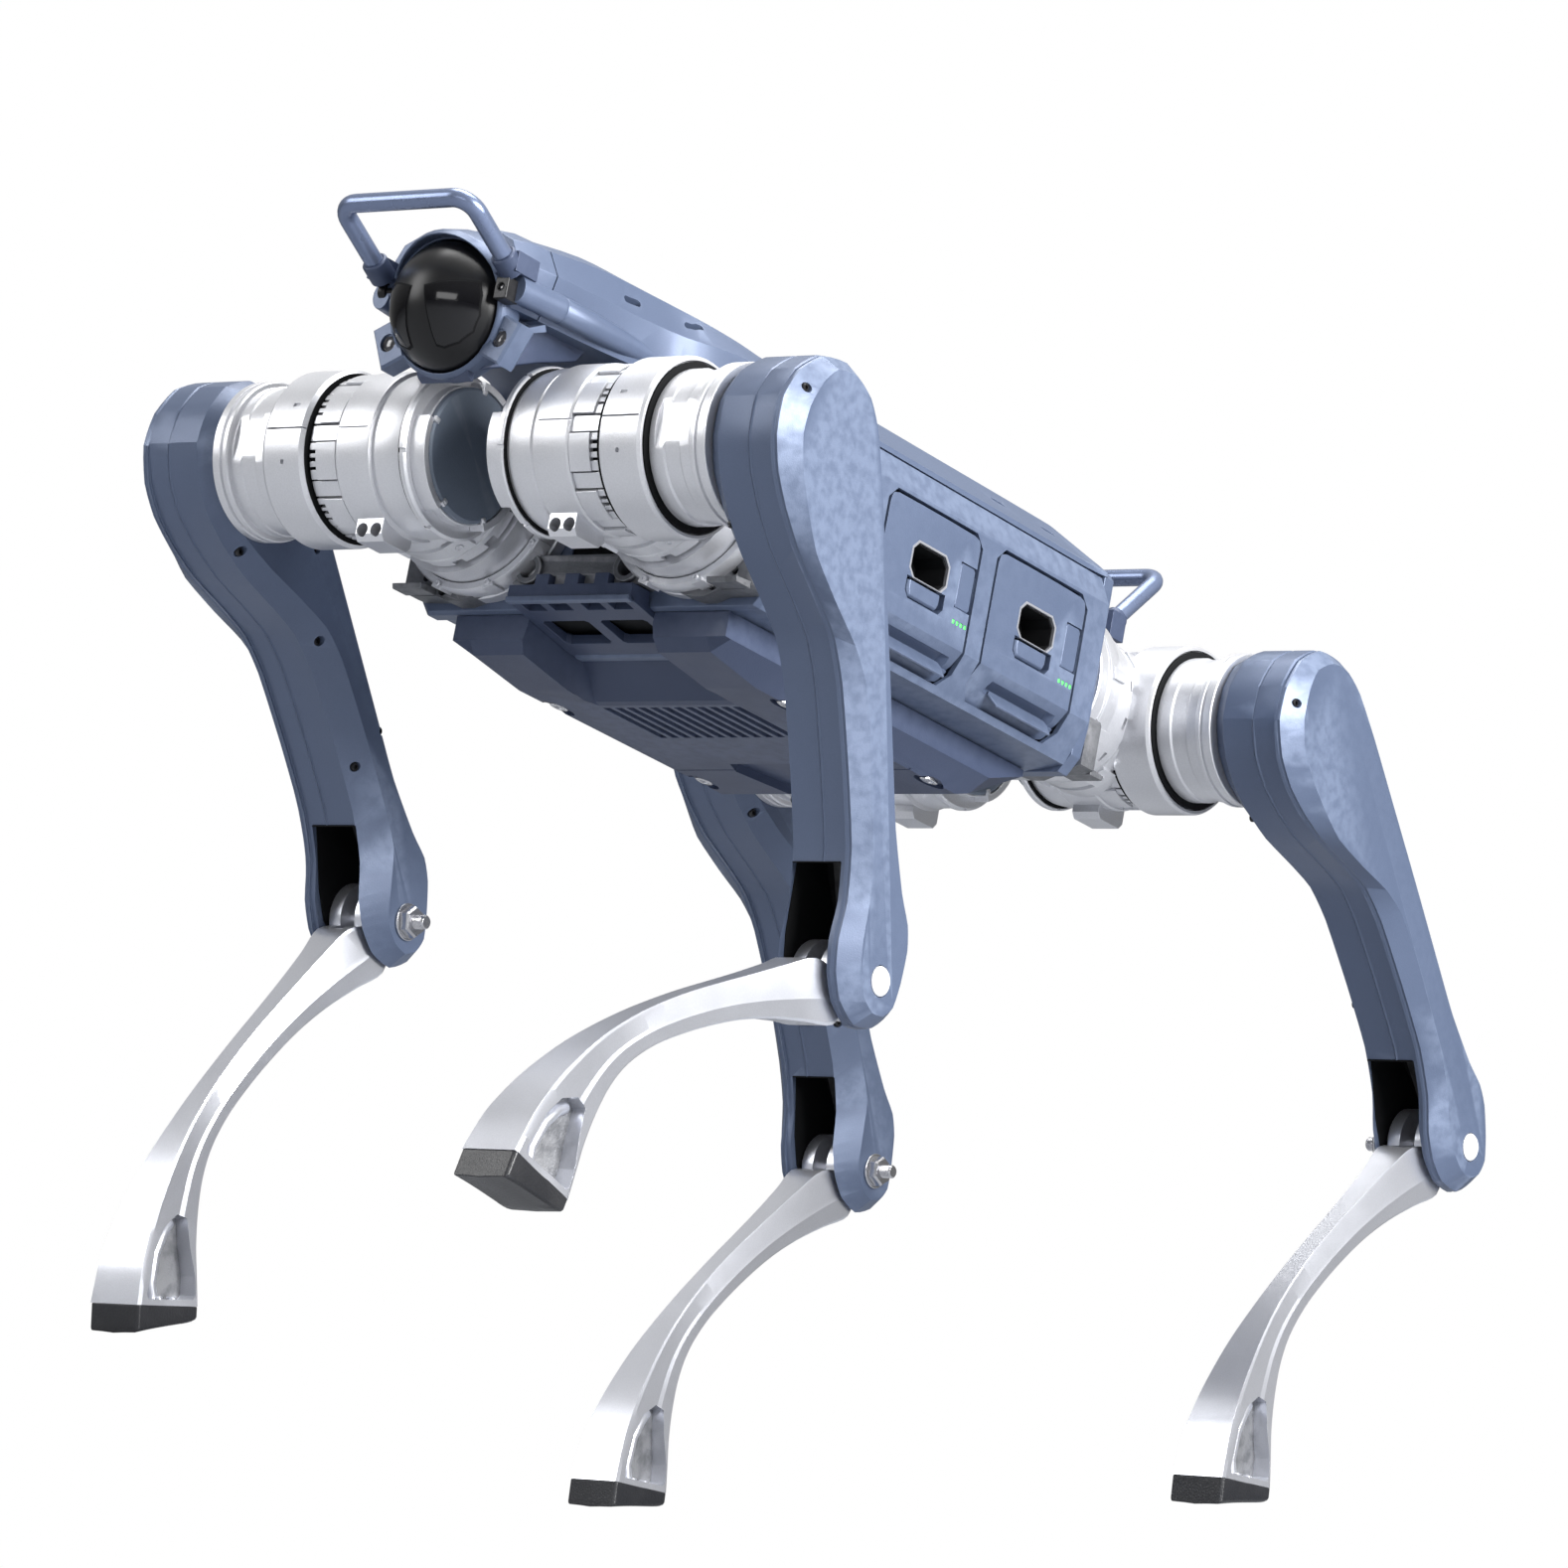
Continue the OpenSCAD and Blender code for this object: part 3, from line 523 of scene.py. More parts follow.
# ---------------------------------------------------------------- shank
# Stations from the knee to the sole: front x z, rear x z, half widths of the front face, middle and rear
SHANK_ROWS = [(8, -10, -9, -10, 12, 13, 12.6), (21.5, -25, -15, -24, 11.2, 13.4, 13),
    (25.5, -46, -6, -44, 8.4, 11.6, 10.9), (29.5, -70, 4, -67, 6.9, 10.2, 9.4),
    (34, -95, 12.5, -92, 5.9, 9.4, 8.7), (38, -118, 18.5, -118, 5.6, 9.0, 8.3),
    (41, -140, 22.5, -142, 5.8, 9.0, 8.3), (43.2, -163, 24.5, -163, 6.6, 9.2, 8.5),
    (44, -186, 23.5, -184, 8.0, 9.8, 9.0), (43.4, -206, 19, -202, 9.8, 11.0, 10.2),
    (41.5, -224, 11, -219, 11.4, 12.6, 11.8), (38.5, -242, 1.5, -234, 12.9, 14.2, 13.4),
    (34.5, -257, -7, -245, 14.2, 15.6, 14.9), (29.5, -271, -13.5, -253, 15.3, 16.4, 15.9),
    (19.04, -290.4, -19.04, -259.6, 16.4, 16.9, 16.5)]
SOLE = radians(39)


def sole(u, v):
    return (u * cos(SOLE) - v * sin(SOLE), -SHANK_L - u * sin(SOLE) - v * cos(SOLE))


def shank(leg, m):
    body = leg + "_shank"
    mid = m @ shift(0, LEG_Y, 0)
    rings = []
    for fx, fz, rx, rz, wf, wm, wr in smooth_rows(SHANK_ROWS, 4):
        half = [(0.0, wf), (0.06, wf + 0.5), (0.50, wm - 0.7), (0.60, wm), (0.95, wr + 0.3),
            (1.0, wr - 0.7)]
        half = [(fx + (rx - fx) * s, w, fz + (rz - fz) * s) for s, w in half]
        rings.append(half + [(x, -w, z) for x, w, z in reversed(half)])
    pocket = [(17, -229), (24, -232), (28.5, -245), (26.5, -260), (17, -281), (14.5, -282.4),
        (-13, -260.2), (-13.4, -257), (-7, -249), (5, -240)]
    cuts = [slab(pocket, 5.2, 25), slab(pocket, -25, -5.2), box(-45, 45, -5, 5, -24, 40),
        pin(6.2, -40, 40)]
    piece(leg + "_shank_casting", loft(rings), mid, body, BRIGHT, [leg + "_shank"],
        joins=[pin(21, -14, 14, n=72, chamfer=1.2)], cuts=cuts, bevel=0.55, crease=11)
    # studs and ribs inside the foot's side pockets
    inside = []
    for s in (-1, 1):
        for u in (-9, 2):
            x, z = sole(u, -1)
            stud = shift(x, LEG_Y + s * 10.5, z) @ Matrix.Rotation(SOLE, 4, "Y")
            inside.append(moved(lathe([(0.1, 0), (2.6, 0), (2.8, 0.4), (2.8, 3.4), (2.4, 3.8), (1.3, 3.8),
                (1.2, 2.6), (0.1, 2.6)], 24), stud @ spin(90, "X")))
    piece(leg + "_foot_studs", join(*inside), m, body, BRIGHT, bevel=0)
    # Painted shade: thin dark casting-coloured plates on the floors of the side pockets of the bright shank.
    pocket_shadow_plate = inset(pocket, -0.3)
    piece(leg + "_pocket_floor_shadow",
        join(*[slab(pocket_shadow_plate, LEG_Y + s * 5.25 - 0.15, LEG_Y + s * 5.25 + 0.15) for s in (-1, 1)]), m,
        body, CAST, slot="bright_aluminium", bevel=0)
    rib = [(19, 5.2, -234), (21, 7.6, -243), (19.5, 8.8, -256), (12, 9.2, -270), (5, 9.4, -275)]
    piece(leg + "_pocket_ribs", join(*[tube([(x, LEG_Y + s * (y - 1.6), z) for x, y, z in rib], 3.6, 20)
        for s in (-1, 1)]), m, body, BRIGHT, bevel=0)
    turn = m @ Matrix.Rotation(radians(SHANK_DEG[leg]) + thigh_angle(leg), 4, "Y")
    piece(leg + "_lever_pin", pin(4, 184, 196, cx=-16, chamfer=0.3), turn, body, STEEL, bevel=0)
    spacers = [ring_solid([(7, y0), (12.5, y0), (13, y0 + 0.4), (13, y1 - 0.4), (12.5, y1), (7, y1)], 40)
        for y0, y1 in ((174.3, 175.8), (204.2, 204.9))]
    piece(leg + "_knee_spacers", join(*spacers), m, body, STEEL, bevel=0)
    # rubber pad under the sole: full at the front, thin at the back, arched between
    rows = []
    for y, shrink, deep in ((-17, 1.6, 0.86), (-15.6, 0.2, 0.98), (-7, 0, 1.0), (0, 0, 1.03), (7, 0, 1.0),
            (15.6, 0.2, 0.98), (17, 1.6, 0.86)):
        top = [sole(u * (24.4 - shrink) / 24.4, 0.1) for u in (24.4, 12, 0, -12, -24.4)]
        low = [sole(-(24.4 - shrink) * cos(radians(a)),
            (6 + 9 * sin(radians(a) / 2) - 1.2 * sin(radians(a)) ** 2) * deep) for a in range(0, 181, 15)]
        rows.append([(x, LEG_Y + y, z) for x, z in top + low])
    piece(leg + "_foot_rubber", loft(rows), m, body, RUBBER, [leg + "_foot_pad"], bevel=0.8, crease=40)


# ---------------------------------------------------------------- hip
def hip(leg, m):
    body = leg + "_hip"
    drum = lathe([(0.1, 24.2), (36.6, 24.2), (37, 24.6), (37, 30.2), (43.4, 30.4), (45, 31.4), (45, 34),
        (44.2, 34.8), (41.4, 35), (41.4, 36.2), (42.2, 37), (43.6, 44), (43.6, 52), (42.8, 53),
        (42.6, 54.2), (45, 55), (45.2, 56), (45.2, 76.6), (44.4, 77.8), (41, 78), (41, 98), (45.2, 98.4),
        (47.5, 100.6), (47.5, 124.4), (46.4, 126.2), (45.0, 126.4), (44.6, 121), (38.6, 121),
        (38.6, 126.6), (40.6, 127.4), (40.6, 136), (39.6, 137), (39.6, 146), (40.4, 147), (40, 153.6),
        (42.2, 154.2), (43, 155), (43, 157.4), (41.6, 158), (41.6, 159), (43, 159.6), (43, 164),
        (42.4, 164.5), (20, 164.5), (20, 173.6), (0.1, 173.6)], 120)
    slot = sector(46.2, 50, 17.6, 20.4, 107, 111.4, 2)
    slit = sector(44, 50, 1.4, 2.6, 57, 124, 2)
    dot = moved(pin(1.3, 45, 50), shift(0, 112, 0) @ spin(20, "Y") @ spin(-90, "Z"))
    bands = [sector(43.6, 50, a - 1.6, a + 1.6, 29, 36, 1) for a in (-75, -15, 45, 105, 165, 225)]
    flats = [box(-60, 60, 131, 152, 38.4, 50), box(38.4, 50, 131, 152, -60, 60)]
    piece(leg + "_hip_drum", drum, m, body, SILVER, [leg + "_hip_housing"], cuts=[join(slot, slit, dot),
        join(*bands), join(*flats)], bevel=0.35, crease=24)
    # painted shadow: near-black sheets on the middle groove's floor and on the step faces of the rings, and the
    # locking blocks over the groove
    groove_shadows = [sector(r0, r1, a, a + 45, y0, y1, 8) for a in range(0, 360, 45)
        for r0, r1, y0, y1 in ((40.9, 41.3, 78.1, 97.9), (41.2, 45.6, 97.5, 98.2),
        (41.6, 43.8, 35.1, 35.5), (39, 44.2, 125.9, 126.6))]
    piece(leg + "_hip_groove_shadow", join(*groove_shadows), m, body, PAINTED_SHADOW_AND_BLACK, slot="dark_casting", bevel=0)
    teeth = []
    for i in range(9):
        a = i * 40 - 20.5
        teeth += [sector(41, 44.6, a - 13, a + 13, 78, 91.5), sector(41, 43.0, a + 14.2, a + 25.8, 78,
            96.6, 3)]
        teeth += [sector(41, 43.4, a + b, a + b + w, 91.4, 96.4, 2)
            for b, w in ((-13, 7), (-4, 4), (2.5, 3), (8, 5))]
    piece(leg + "_hip_locks", join(*teeth), m, body, SILVER, bevel=0.35, crease=28)
    roll = m @ shift(0, ROLL_Y, 0)
    flange = along_x(lathe([(12.2, -52.5), (40.8, -52.5), (43.2, -51.4), (43.2, -43.5), (42.2, -43),
        (42.2, -41.6), (43.2, -41), (43.2, -31), (41.4, -30.6), (41.4, -27), (43.2, -26.6), (43.2, -12),
        (12.2, -12)], 96))
    hole = along_x(lathe([(0.1, -60), (12.1, -60), (12.1, -38), (0.1, -38)], 48))
    notches = [moved(box(-53, -47, -3.4, 3.4, 38.4, 50), spin(a, "X")) for a in range(15, 360, 30)]
    piece(leg + "_roll_flange", flange, roll, body, SILVER, cuts=[hole, join(*notches)], bevel=0.4,
        crease=26)
    clamps = [moved(join(box(-41, -28, -7, 7, 41, 44.6), screw((-34.5, 0, 44.4), (0, 0, 1), 2.4, 1.2)),
        spin(a, "X")) for a in (-150, -100, -50, 100, 150)]
    piece(leg + "_roll_clamps", join(*clamps), roll, body, SILVER, bevel=0.4, crease=28)
    # lug with two holes under the drum
    lug_outline = [(-5, -40), (-5, -49), (-2, -52.4), (17, -52.4), (20, -49), (20, -40)]
    piece(leg + "_hip_lug", slab(lug_outline, 55.5, 73.5), m, body, SILVER,
        cuts=[join(*[pin_x(3.6, 8, 24, y, -46.6) for y in (60, 69.2)])], bevel=0.6, crease=25)
    # Painted shadow: near-black discs set inside the lug's two holes.
    piece(leg + "_lug_hole_shadows", join(*[pin_x(3.7, 7, 9, y, -46.6) for y in (60, 69.2)]), m, body, PAINTED_SHADOW_AND_BLACK,
        slot="dark_casting", bevel=0)
    # end cap: slate disc held by three bright clips with their screws
    cap = lathe([(0.1, 20.3), (34.4, 20.3), (36, 21.4), (36, 24.1), (0.1, 24.1)], 96)
    piece(leg + "_hip_cap", cap, m, body, SLATE, [leg + "_hip_end_cap"], slot="dark_casting", bevel=0.3)
    clips = []
    for a0, a1 in ((-63, 13), (88, 150), (180, 240)):
        clips.append(sector(36.6, 40.6, a0, a1, 20.8, 30.3, 12))
        for a in (a0, a1):
            clips.append(moved(join(box(33.2, 37, 19.6, 21.4, -1.6, 1.6), pin(1.2, 19, 20, 34.8)),
                spin(-a, "Y")))
    piece(leg + "_hip_clips", join(*clips), m, body, SILVER, bevel=0.35, crease=28)


for leg in SIDES:
    hip_m, thigh_m, shank_m = leg_frames(leg)
    hip(leg, hip_m)
    thigh(leg, thigh_m)
    shank(leg, shank_m)


# ---------------------------------------------------------------- roof, neck and head
def mirrored(half):
    """A ring of YZ points from its left half, drawn from the bottom up to the middle."""
    return half + [(-y, z) for y, z in reversed(half)]


ROOF = [  # x, half section from the bottom edge up: (y, z)
    (-252, [(38, 57), (41, 66), (41, 76), (34, 83), (18, 84.5)]),
    (-226, [(44, 57), (46, 66), (46, 78), (38, 86), (20, 87.6)]),
    (-192, [(51, 57), (52, 68), (53, 80), (45, 87.4), (26, 88)]),
    (-170, [(82, 57), (83, 66), (82, 76), (64, 87.4), (36, 88)]),
    (-144, [(119, 57), (118.5, 60), (112, 65), (76, 87.6), (50, 88)]),
    (-120, [(119, 57), (118.5, 60), (114, 63), (78, 87.6), (55, 88)]),
    (0, [(119, 57), (118.5, 60), (114, 63), (78, 87.6), (55, 88)]),
    (112, [(119, 57), (118.5, 60), (114, 63), (78, 87.6), (55, 88)]),
    (132, [(118, 57), (117.5, 60), (111, 66), (74, 88), (50, 90.5)]),
    (150, [(102, 57), (102, 63), (95, 74), (68, 92), (45, 98)]),
    (168, [(81, 57), (82, 67), (78, 80), (60, 96), (40, 102)]),
    (190, [(60, 57), (63, 68), (64, 81), (54, 98), (36, 104.6)]),
    (218, [(52, 57), (56, 67), (58, 81), (50, 98.6), (34, 105.8)]),
    (250, [(46, 57), (51, 67), (54, 81), (47, 98), (32, 105.2)]),
    (284, [(42, 57), (47, 67), (50, 81), (42, 95), (28, 101.2)])]
rows = smooth_rows([[x] + [c for p in half for c in p] for x, half in ROOF], 3)
rings = [[(r[0], y, z) for y, z in mirrored([(r[i], r[i + 1]) for i in range(1, 11, 2)])] for r in rows]
slots = []
for x, y, z, roll in ((-110, 98, 75, 32), (-60, 98, 75, 32), (110, 98, 75, 32), (182, 60, 88, 38),
        (226, 53, 88, 50)):
    for s in (-1, 1):
        capsule = [(4.4 + 2 * cos(a), 2 * sin(a)) for a in [radians(-90 + 22.5 * i) for i in range(9)]]
        capsule += [(-px, -pz) for px, pz in capsule]
        slots.append(moved(plate(capsule, -3, 8), shift(x, s * y, z) @ spin(-s * roll, "X")))
holes = [moved(pin(3, -8, 8), shift(x, y, 84) @ spin(90, "X")) for x in (-80, 80) for y in (-50, 50)]
piece("roof_and_neck", loft(rings), TRUNK, "trunk", BLUE, ["top_cover"],
    cuts=[join(*slots), join(*holes)], bevel=0.9, crease=13)
inserts = []
for x in (-80, 80):
    for y in (-50, 50):
        ring = ring_solid([(3, -0.3), (4.4, -0.3), (4.6, 0.25), (3, 0.25)], 32)
        inserts.append(moved(ring, shift(x, y, 87.9) @ spin(90, "X")))
piece("payload_inserts", join(*inserts), TRUNK, "trunk", STEEL, bevel=0)

# neck front: the neck's last section carried on to the hood, past a narrow seam
tip = ROOF[-1][1]
front_rings = [[(x, y * k, 60 + (z - 60) * kz) for y, z in mirrored(tip)]
    for x, k, kz in ((284.7, 1.0, 1.0), (298, 0.96, 0.99), (309, 0.86, 0.94))]
DOME_R, CAP_R = 34.5, 37.0  # dome at its rim, and the sphere it is cut from
tilt = shift(298, 0, 60) @ spin(12, "Y")
dome_c = 12 - sqrt(CAP_R ** 2 - DOME_R ** 2)

seat = moved(along_x(lathe([(0.1, 1), (DOME_R + 0.5, 1), (DOME_R + 0.5, 60), (0.1, 60)], 96)), tilt)
piece("neck_front", loft(front_rings), TRUNK, "trunk", BLUE, ["head_housing"], cuts=[seat], bevel=0.8,
    crease=16)
hood = along_x(ring_solid([(DOME_R + 0.5, -4), (37.6, -4), (38.6, -1), (38.6, 8), (37.8, 11),
    (36.6, 12.4), (35.4, 12.8), (DOME_R + 0.5, 12)]))
piece("hood_ring", hood, TRUNK @ tilt, "trunk", BLUE, bevel=0.4, crease=24)
# brow over the dome, longest in the middle
brow = []
for i in range(17):
    a = radians(25 + 130 * i / 16)
    reach = 14 + 7 * sin(pi * i / 16)
    brow.append([(x, r * cos(a), r * sin(a)) for x, r in ((-3, 37), (reach - 1, 36.2), (reach, 37),
        (reach - 3.5, 39.6), (4, 41.4), (-3, 41.4))])
piece("brow", loft(brow), TRUNK @ tilt, "trunk", BLUE, bevel=0.4, crease=28)
# Jaw in the darker blue: painted shade under the dome on a blue shell part.
jaw = [(296, 40), (303, 36), (304, 29), (301, 22), (297, 20), (296, 20)]
piece("jaw", slab(jaw, -17, 17), TRUNK, "trunk", DARK_PAINT_AND_SHADE, slot="blue_shell", cuts=[seat], bevel=1.4,
    crease=20)
# Throat in the darker blue: painted shade under the neck on a blue shell part.
throat = [[(x, y * w, z) for y, z in ((-1, top), (-0.8, low), (0.8, low), (1, top))]
    for x, w, top, low in ((236, 40, 60, 52), (262, 36, 60, 42), (284, 32, 60, 32), (297, 28, 60, 26))]
piece("throat", loft(throat), TRUNK, "trunk", DARK_PAINT_AND_SHADE, slot="blue_shell", bevel=1.2, crease=20)
LAMP_Y, LAMP_Z = 37, 40
for s, side in ((1, "left"), (-1, "right")):
    # lamp pod: a tall block leaning outward, with a round lens in a bore
    pod_m = TRUNK @ shift(296, s * LAMP_Y, LAMP_Z) @ spin(-25 * s, "X")
    pod = loft([[(x, y * (8 + h), z * (12 + h)) for y, z in ((-1, -1), (1, -1), (1, 1), (-1, 1))]
        for x, h in ((-5, -2), (-2, 0.2), (8.6, 0.2), (10, -1))])
    bore = moved(along_x(lathe([(0.1, 303), (5, 303), (5, 320), (0.1, 320)], 48)),
        shift(0, s * LAMP_Y, LAMP_Z))
    inverse = pod_m.inverted() @ TRUNK
    piece(side + "_lamp_pod", pod, pod_m, "trunk", BLUE, cuts=[moved(bore, inverse),
        moved(seat, inverse)], bevel=0.8, crease=20)
    lens = along_x(lathe([(0.1, 302.5), (4.8, 302.5), (4.8, 304.2), (4.3, 304.6), (3.9, 304.2),
        (3.6, 304.4), (2.6, 304.8), (1.4, 305), (0.1, 305.1)], 48))
    piece(side + "_lamp_lens", lens, TRUNK @ shift(0, s * LAMP_Y, LAMP_Z), "trunk", LENS,
        ["head_lamps"] if s > 0 else (), bevel=0, crease=35)
    # bracket behind the pod, open below like a shelf
    wing = [(280, 52), (297, 45), (305, 44), (305, 46.4), (297, 48), (282, 55.5)]
    piece(side + "_pod_bracket", slab(wing, *sorted((s * 30, s * 46))), TRUNK, "trunk", BLUE, cuts=[seat],
        bevel=0.8, crease=25)
    # rail along the neck's side, ending in the block beside the dome
    rail = []
    for x, y, z, h, w in ((309, 45.5, 65.5, 7.4, 5.5), (296, 46.5, 65.5, 7.6, 6), (277, 48, 66, 7.6, 6.5),
            (276.4, 48, 66, 7.2, 6.1), (275.6, 48, 66, 7.2, 6.1), (275, 48, 66, 7.6, 6.5),
            (250, 49.5, 66, 7.4, 7), (225, 51, 66, 6.6, 6.4), (203, 53, 66, 5, 5)):
        rail.append([(x, s * (y + w * cos(a)), z + h * sin(a))
            for a in [2 * pi * i / 28 for i in range(28)]])
    piece(side + "_neck_rail", loft(rail), TRUNK, "trunk", BLUE, bevel=0.3)
camera_block = box(306, 317, 37, 45.5, 57.5, 69.5)
piece("side_camera", camera_block, TRUNK, "trunk", ROD, cuts=[pin_x(1.8, 315, 325, 41.2, 64, 24), seat],
    bevel=0.8)
piece("side_camera_lens",
    moved(along_x(lathe([(0.1, 313), (1.7, 313), (1.7, 315.6), (0.9, 316), (0.1, 316)], 24)),
    shift(0, 41.2, 64)), TRUNK, "trunk", LENS, bevel=0)
knob = lathe([(0.1, 38), (3.4, 38), (3.4, 42), (4.6, 42.4), (5, 43.2), (5, 46.6), (4.2, 47.6), (2, 47.8),
    (1.6, 47), (0.1, 47)], 40)
piece("side_knob", moved(knob, shift(306, 0, 68) @ Matrix.Diagonal((1, -1, 1, 1))), TRUNK, "trunk", ROD,
    bevel=0.2)

# dome: rim, shell and two windows
rim_a = asin(34 / CAP_R)
profile = [(0.1, 1.3), (34.3, 1.3), (34.3, 11), (33.8, 11.6)]
profile += [(CAP_R * sin(rim_a * t), dome_c + CAP_R * cos(rim_a * t))
    for t in [1 - i / 24 for i in range(1, 24)]] + [(0.1, dome_c + CAP_R)]
piece("dome_shell", along_x(lathe(profile, 96)), TRUNK @ tilt, "trunk", DOME, ["lidar_dome"], bevel=0,
    crease=35)
# outline of the glossy window on the left half of the dome: (y, up)
PANE = [(5, 7), (14, 9), (23, 10), (28.6, 9.5), (30, 3), (29.4, -7), (26, -15), (19.4, -20.4), (12, -23),
    (8.6, -22), (8, -12), (6.6, -2)]


def pane(points, lift):
    """A patch of the dome inside a ring of (y, up) points, raised above it."""
    ring = []
    for a, b in zip(points, points[1:] + points[:1]):
        ring += [(a[0] + (b[0] - a[0]) * t / 6, a[1] + (b[1] - a[1]) * t / 6) for t in range(6)]
    cy, cz = sum(p[0] for p in ring) / len(ring), sum(p[1] for p in ring) / len(ring)
    outer = []
    for radius, ks in ((CAP_R - 1, (1.0,)), (CAP_R + lift, (1.0, 0.97, 0.8, 0.6, 0.4, 0.2, 0.04))):
        for k in ks:
            layer = []
            for y, z in ring:
                y, z = cy + (y - cy) * k, cz + (z - cz) * k
                x = sqrt(max(CAP_R ** 2 - y * y - z * z, 1))
                layer.append(tuple(c * radius / CAP_R for c in (x, y, z)))
            outer.append([(x + dome_c, y, z) for x, y, z in layer])
    return loft(outer)


for s, side in ((1, "left"), (-1, "right")):
    patch = pane([(y * s, z) for y, z in (PANE if s > 0 else PANE[::-1])], 0.45)
    piece(side + "_dome_window", patch, TRUNK @ tilt, "trunk", WINDOW, slot="black_dome", bevel=0)
    border = pane([(s * (y + (y - 19) * 0.07), z + (z + 5) * 0.07)
        for y, z in (PANE if s > 0 else PANE[::-1])], 0.2)
    piece(side + "_window_border", border, TRUNK @ tilt, "trunk", PAINTED_SHADOW_AND_BLACK, slot="black_dome", bevel=0)


# ---------------------------------------------------------------- handles
HANDLE_Y = 43


def handle(name, foot, top, foot_box):
    """A bent tube through (x, z) foot and top points, and the two brackets it stands on."""
    path = [(x, y, z) for (x, z), y in ((foot, -HANDLE_Y), (top, -HANDLE_Y), (top, HANDLE_Y),
        (foot, HANDLE_Y))]
    piece(name + "_bar", tube(rounded(path, 11, 8), 5, 24), TRUNK, "trunk", TUBE, [name], bevel=0,
        crease=40)
    feet = []
    for s in (-1, 1):
        x0, x1, y0, y1, z0, z1 = foot_box
        feet.append(box(x0, x1, *sorted((s * y0, s * y1)), z0, z1))
        way = Vector((top[0] - foot[0], 0, top[1] - foot[1])).normalized()
        at = Vector((foot[0], s * HANDLE_Y, foot[1]))
        collar = [(0.1, -7), (6.6, -7), (7, -6.4), (7, 4.5), (6.2, 5.4), (0.1, 5.4)]
        turn = Vector((0, 1, 0)).rotation_difference(way).to_matrix().to_4x4()
        feet.append(moved(lathe(collar, 40), Matrix.Translation(at) @ turn))
    piece(name + "_feet", join(*feet), TRUNK, "trunk", DARK_PAINT_AND_SHADE, slot="blue_tube", bevel=0.9)


handle("front_handle", (318, 77), (357, 98), (300, 318, 38, 50, 72, 83))
handle("rear_handle", (-260, 72), (-300, 112), (-264, -250, 31, 50, 60, 76))


# ---------------------------------------------------------------- batteries
def chamfered(x0, x1, z0, z1, c):
    return [(x0, z0 + c), (x0 + c, z0), (x1 - c, z0), (x1, z0 + c), (x1, z1 - c), (x1 - c, z1),
        (x0 + c, z1), (x0, z1 - c)]


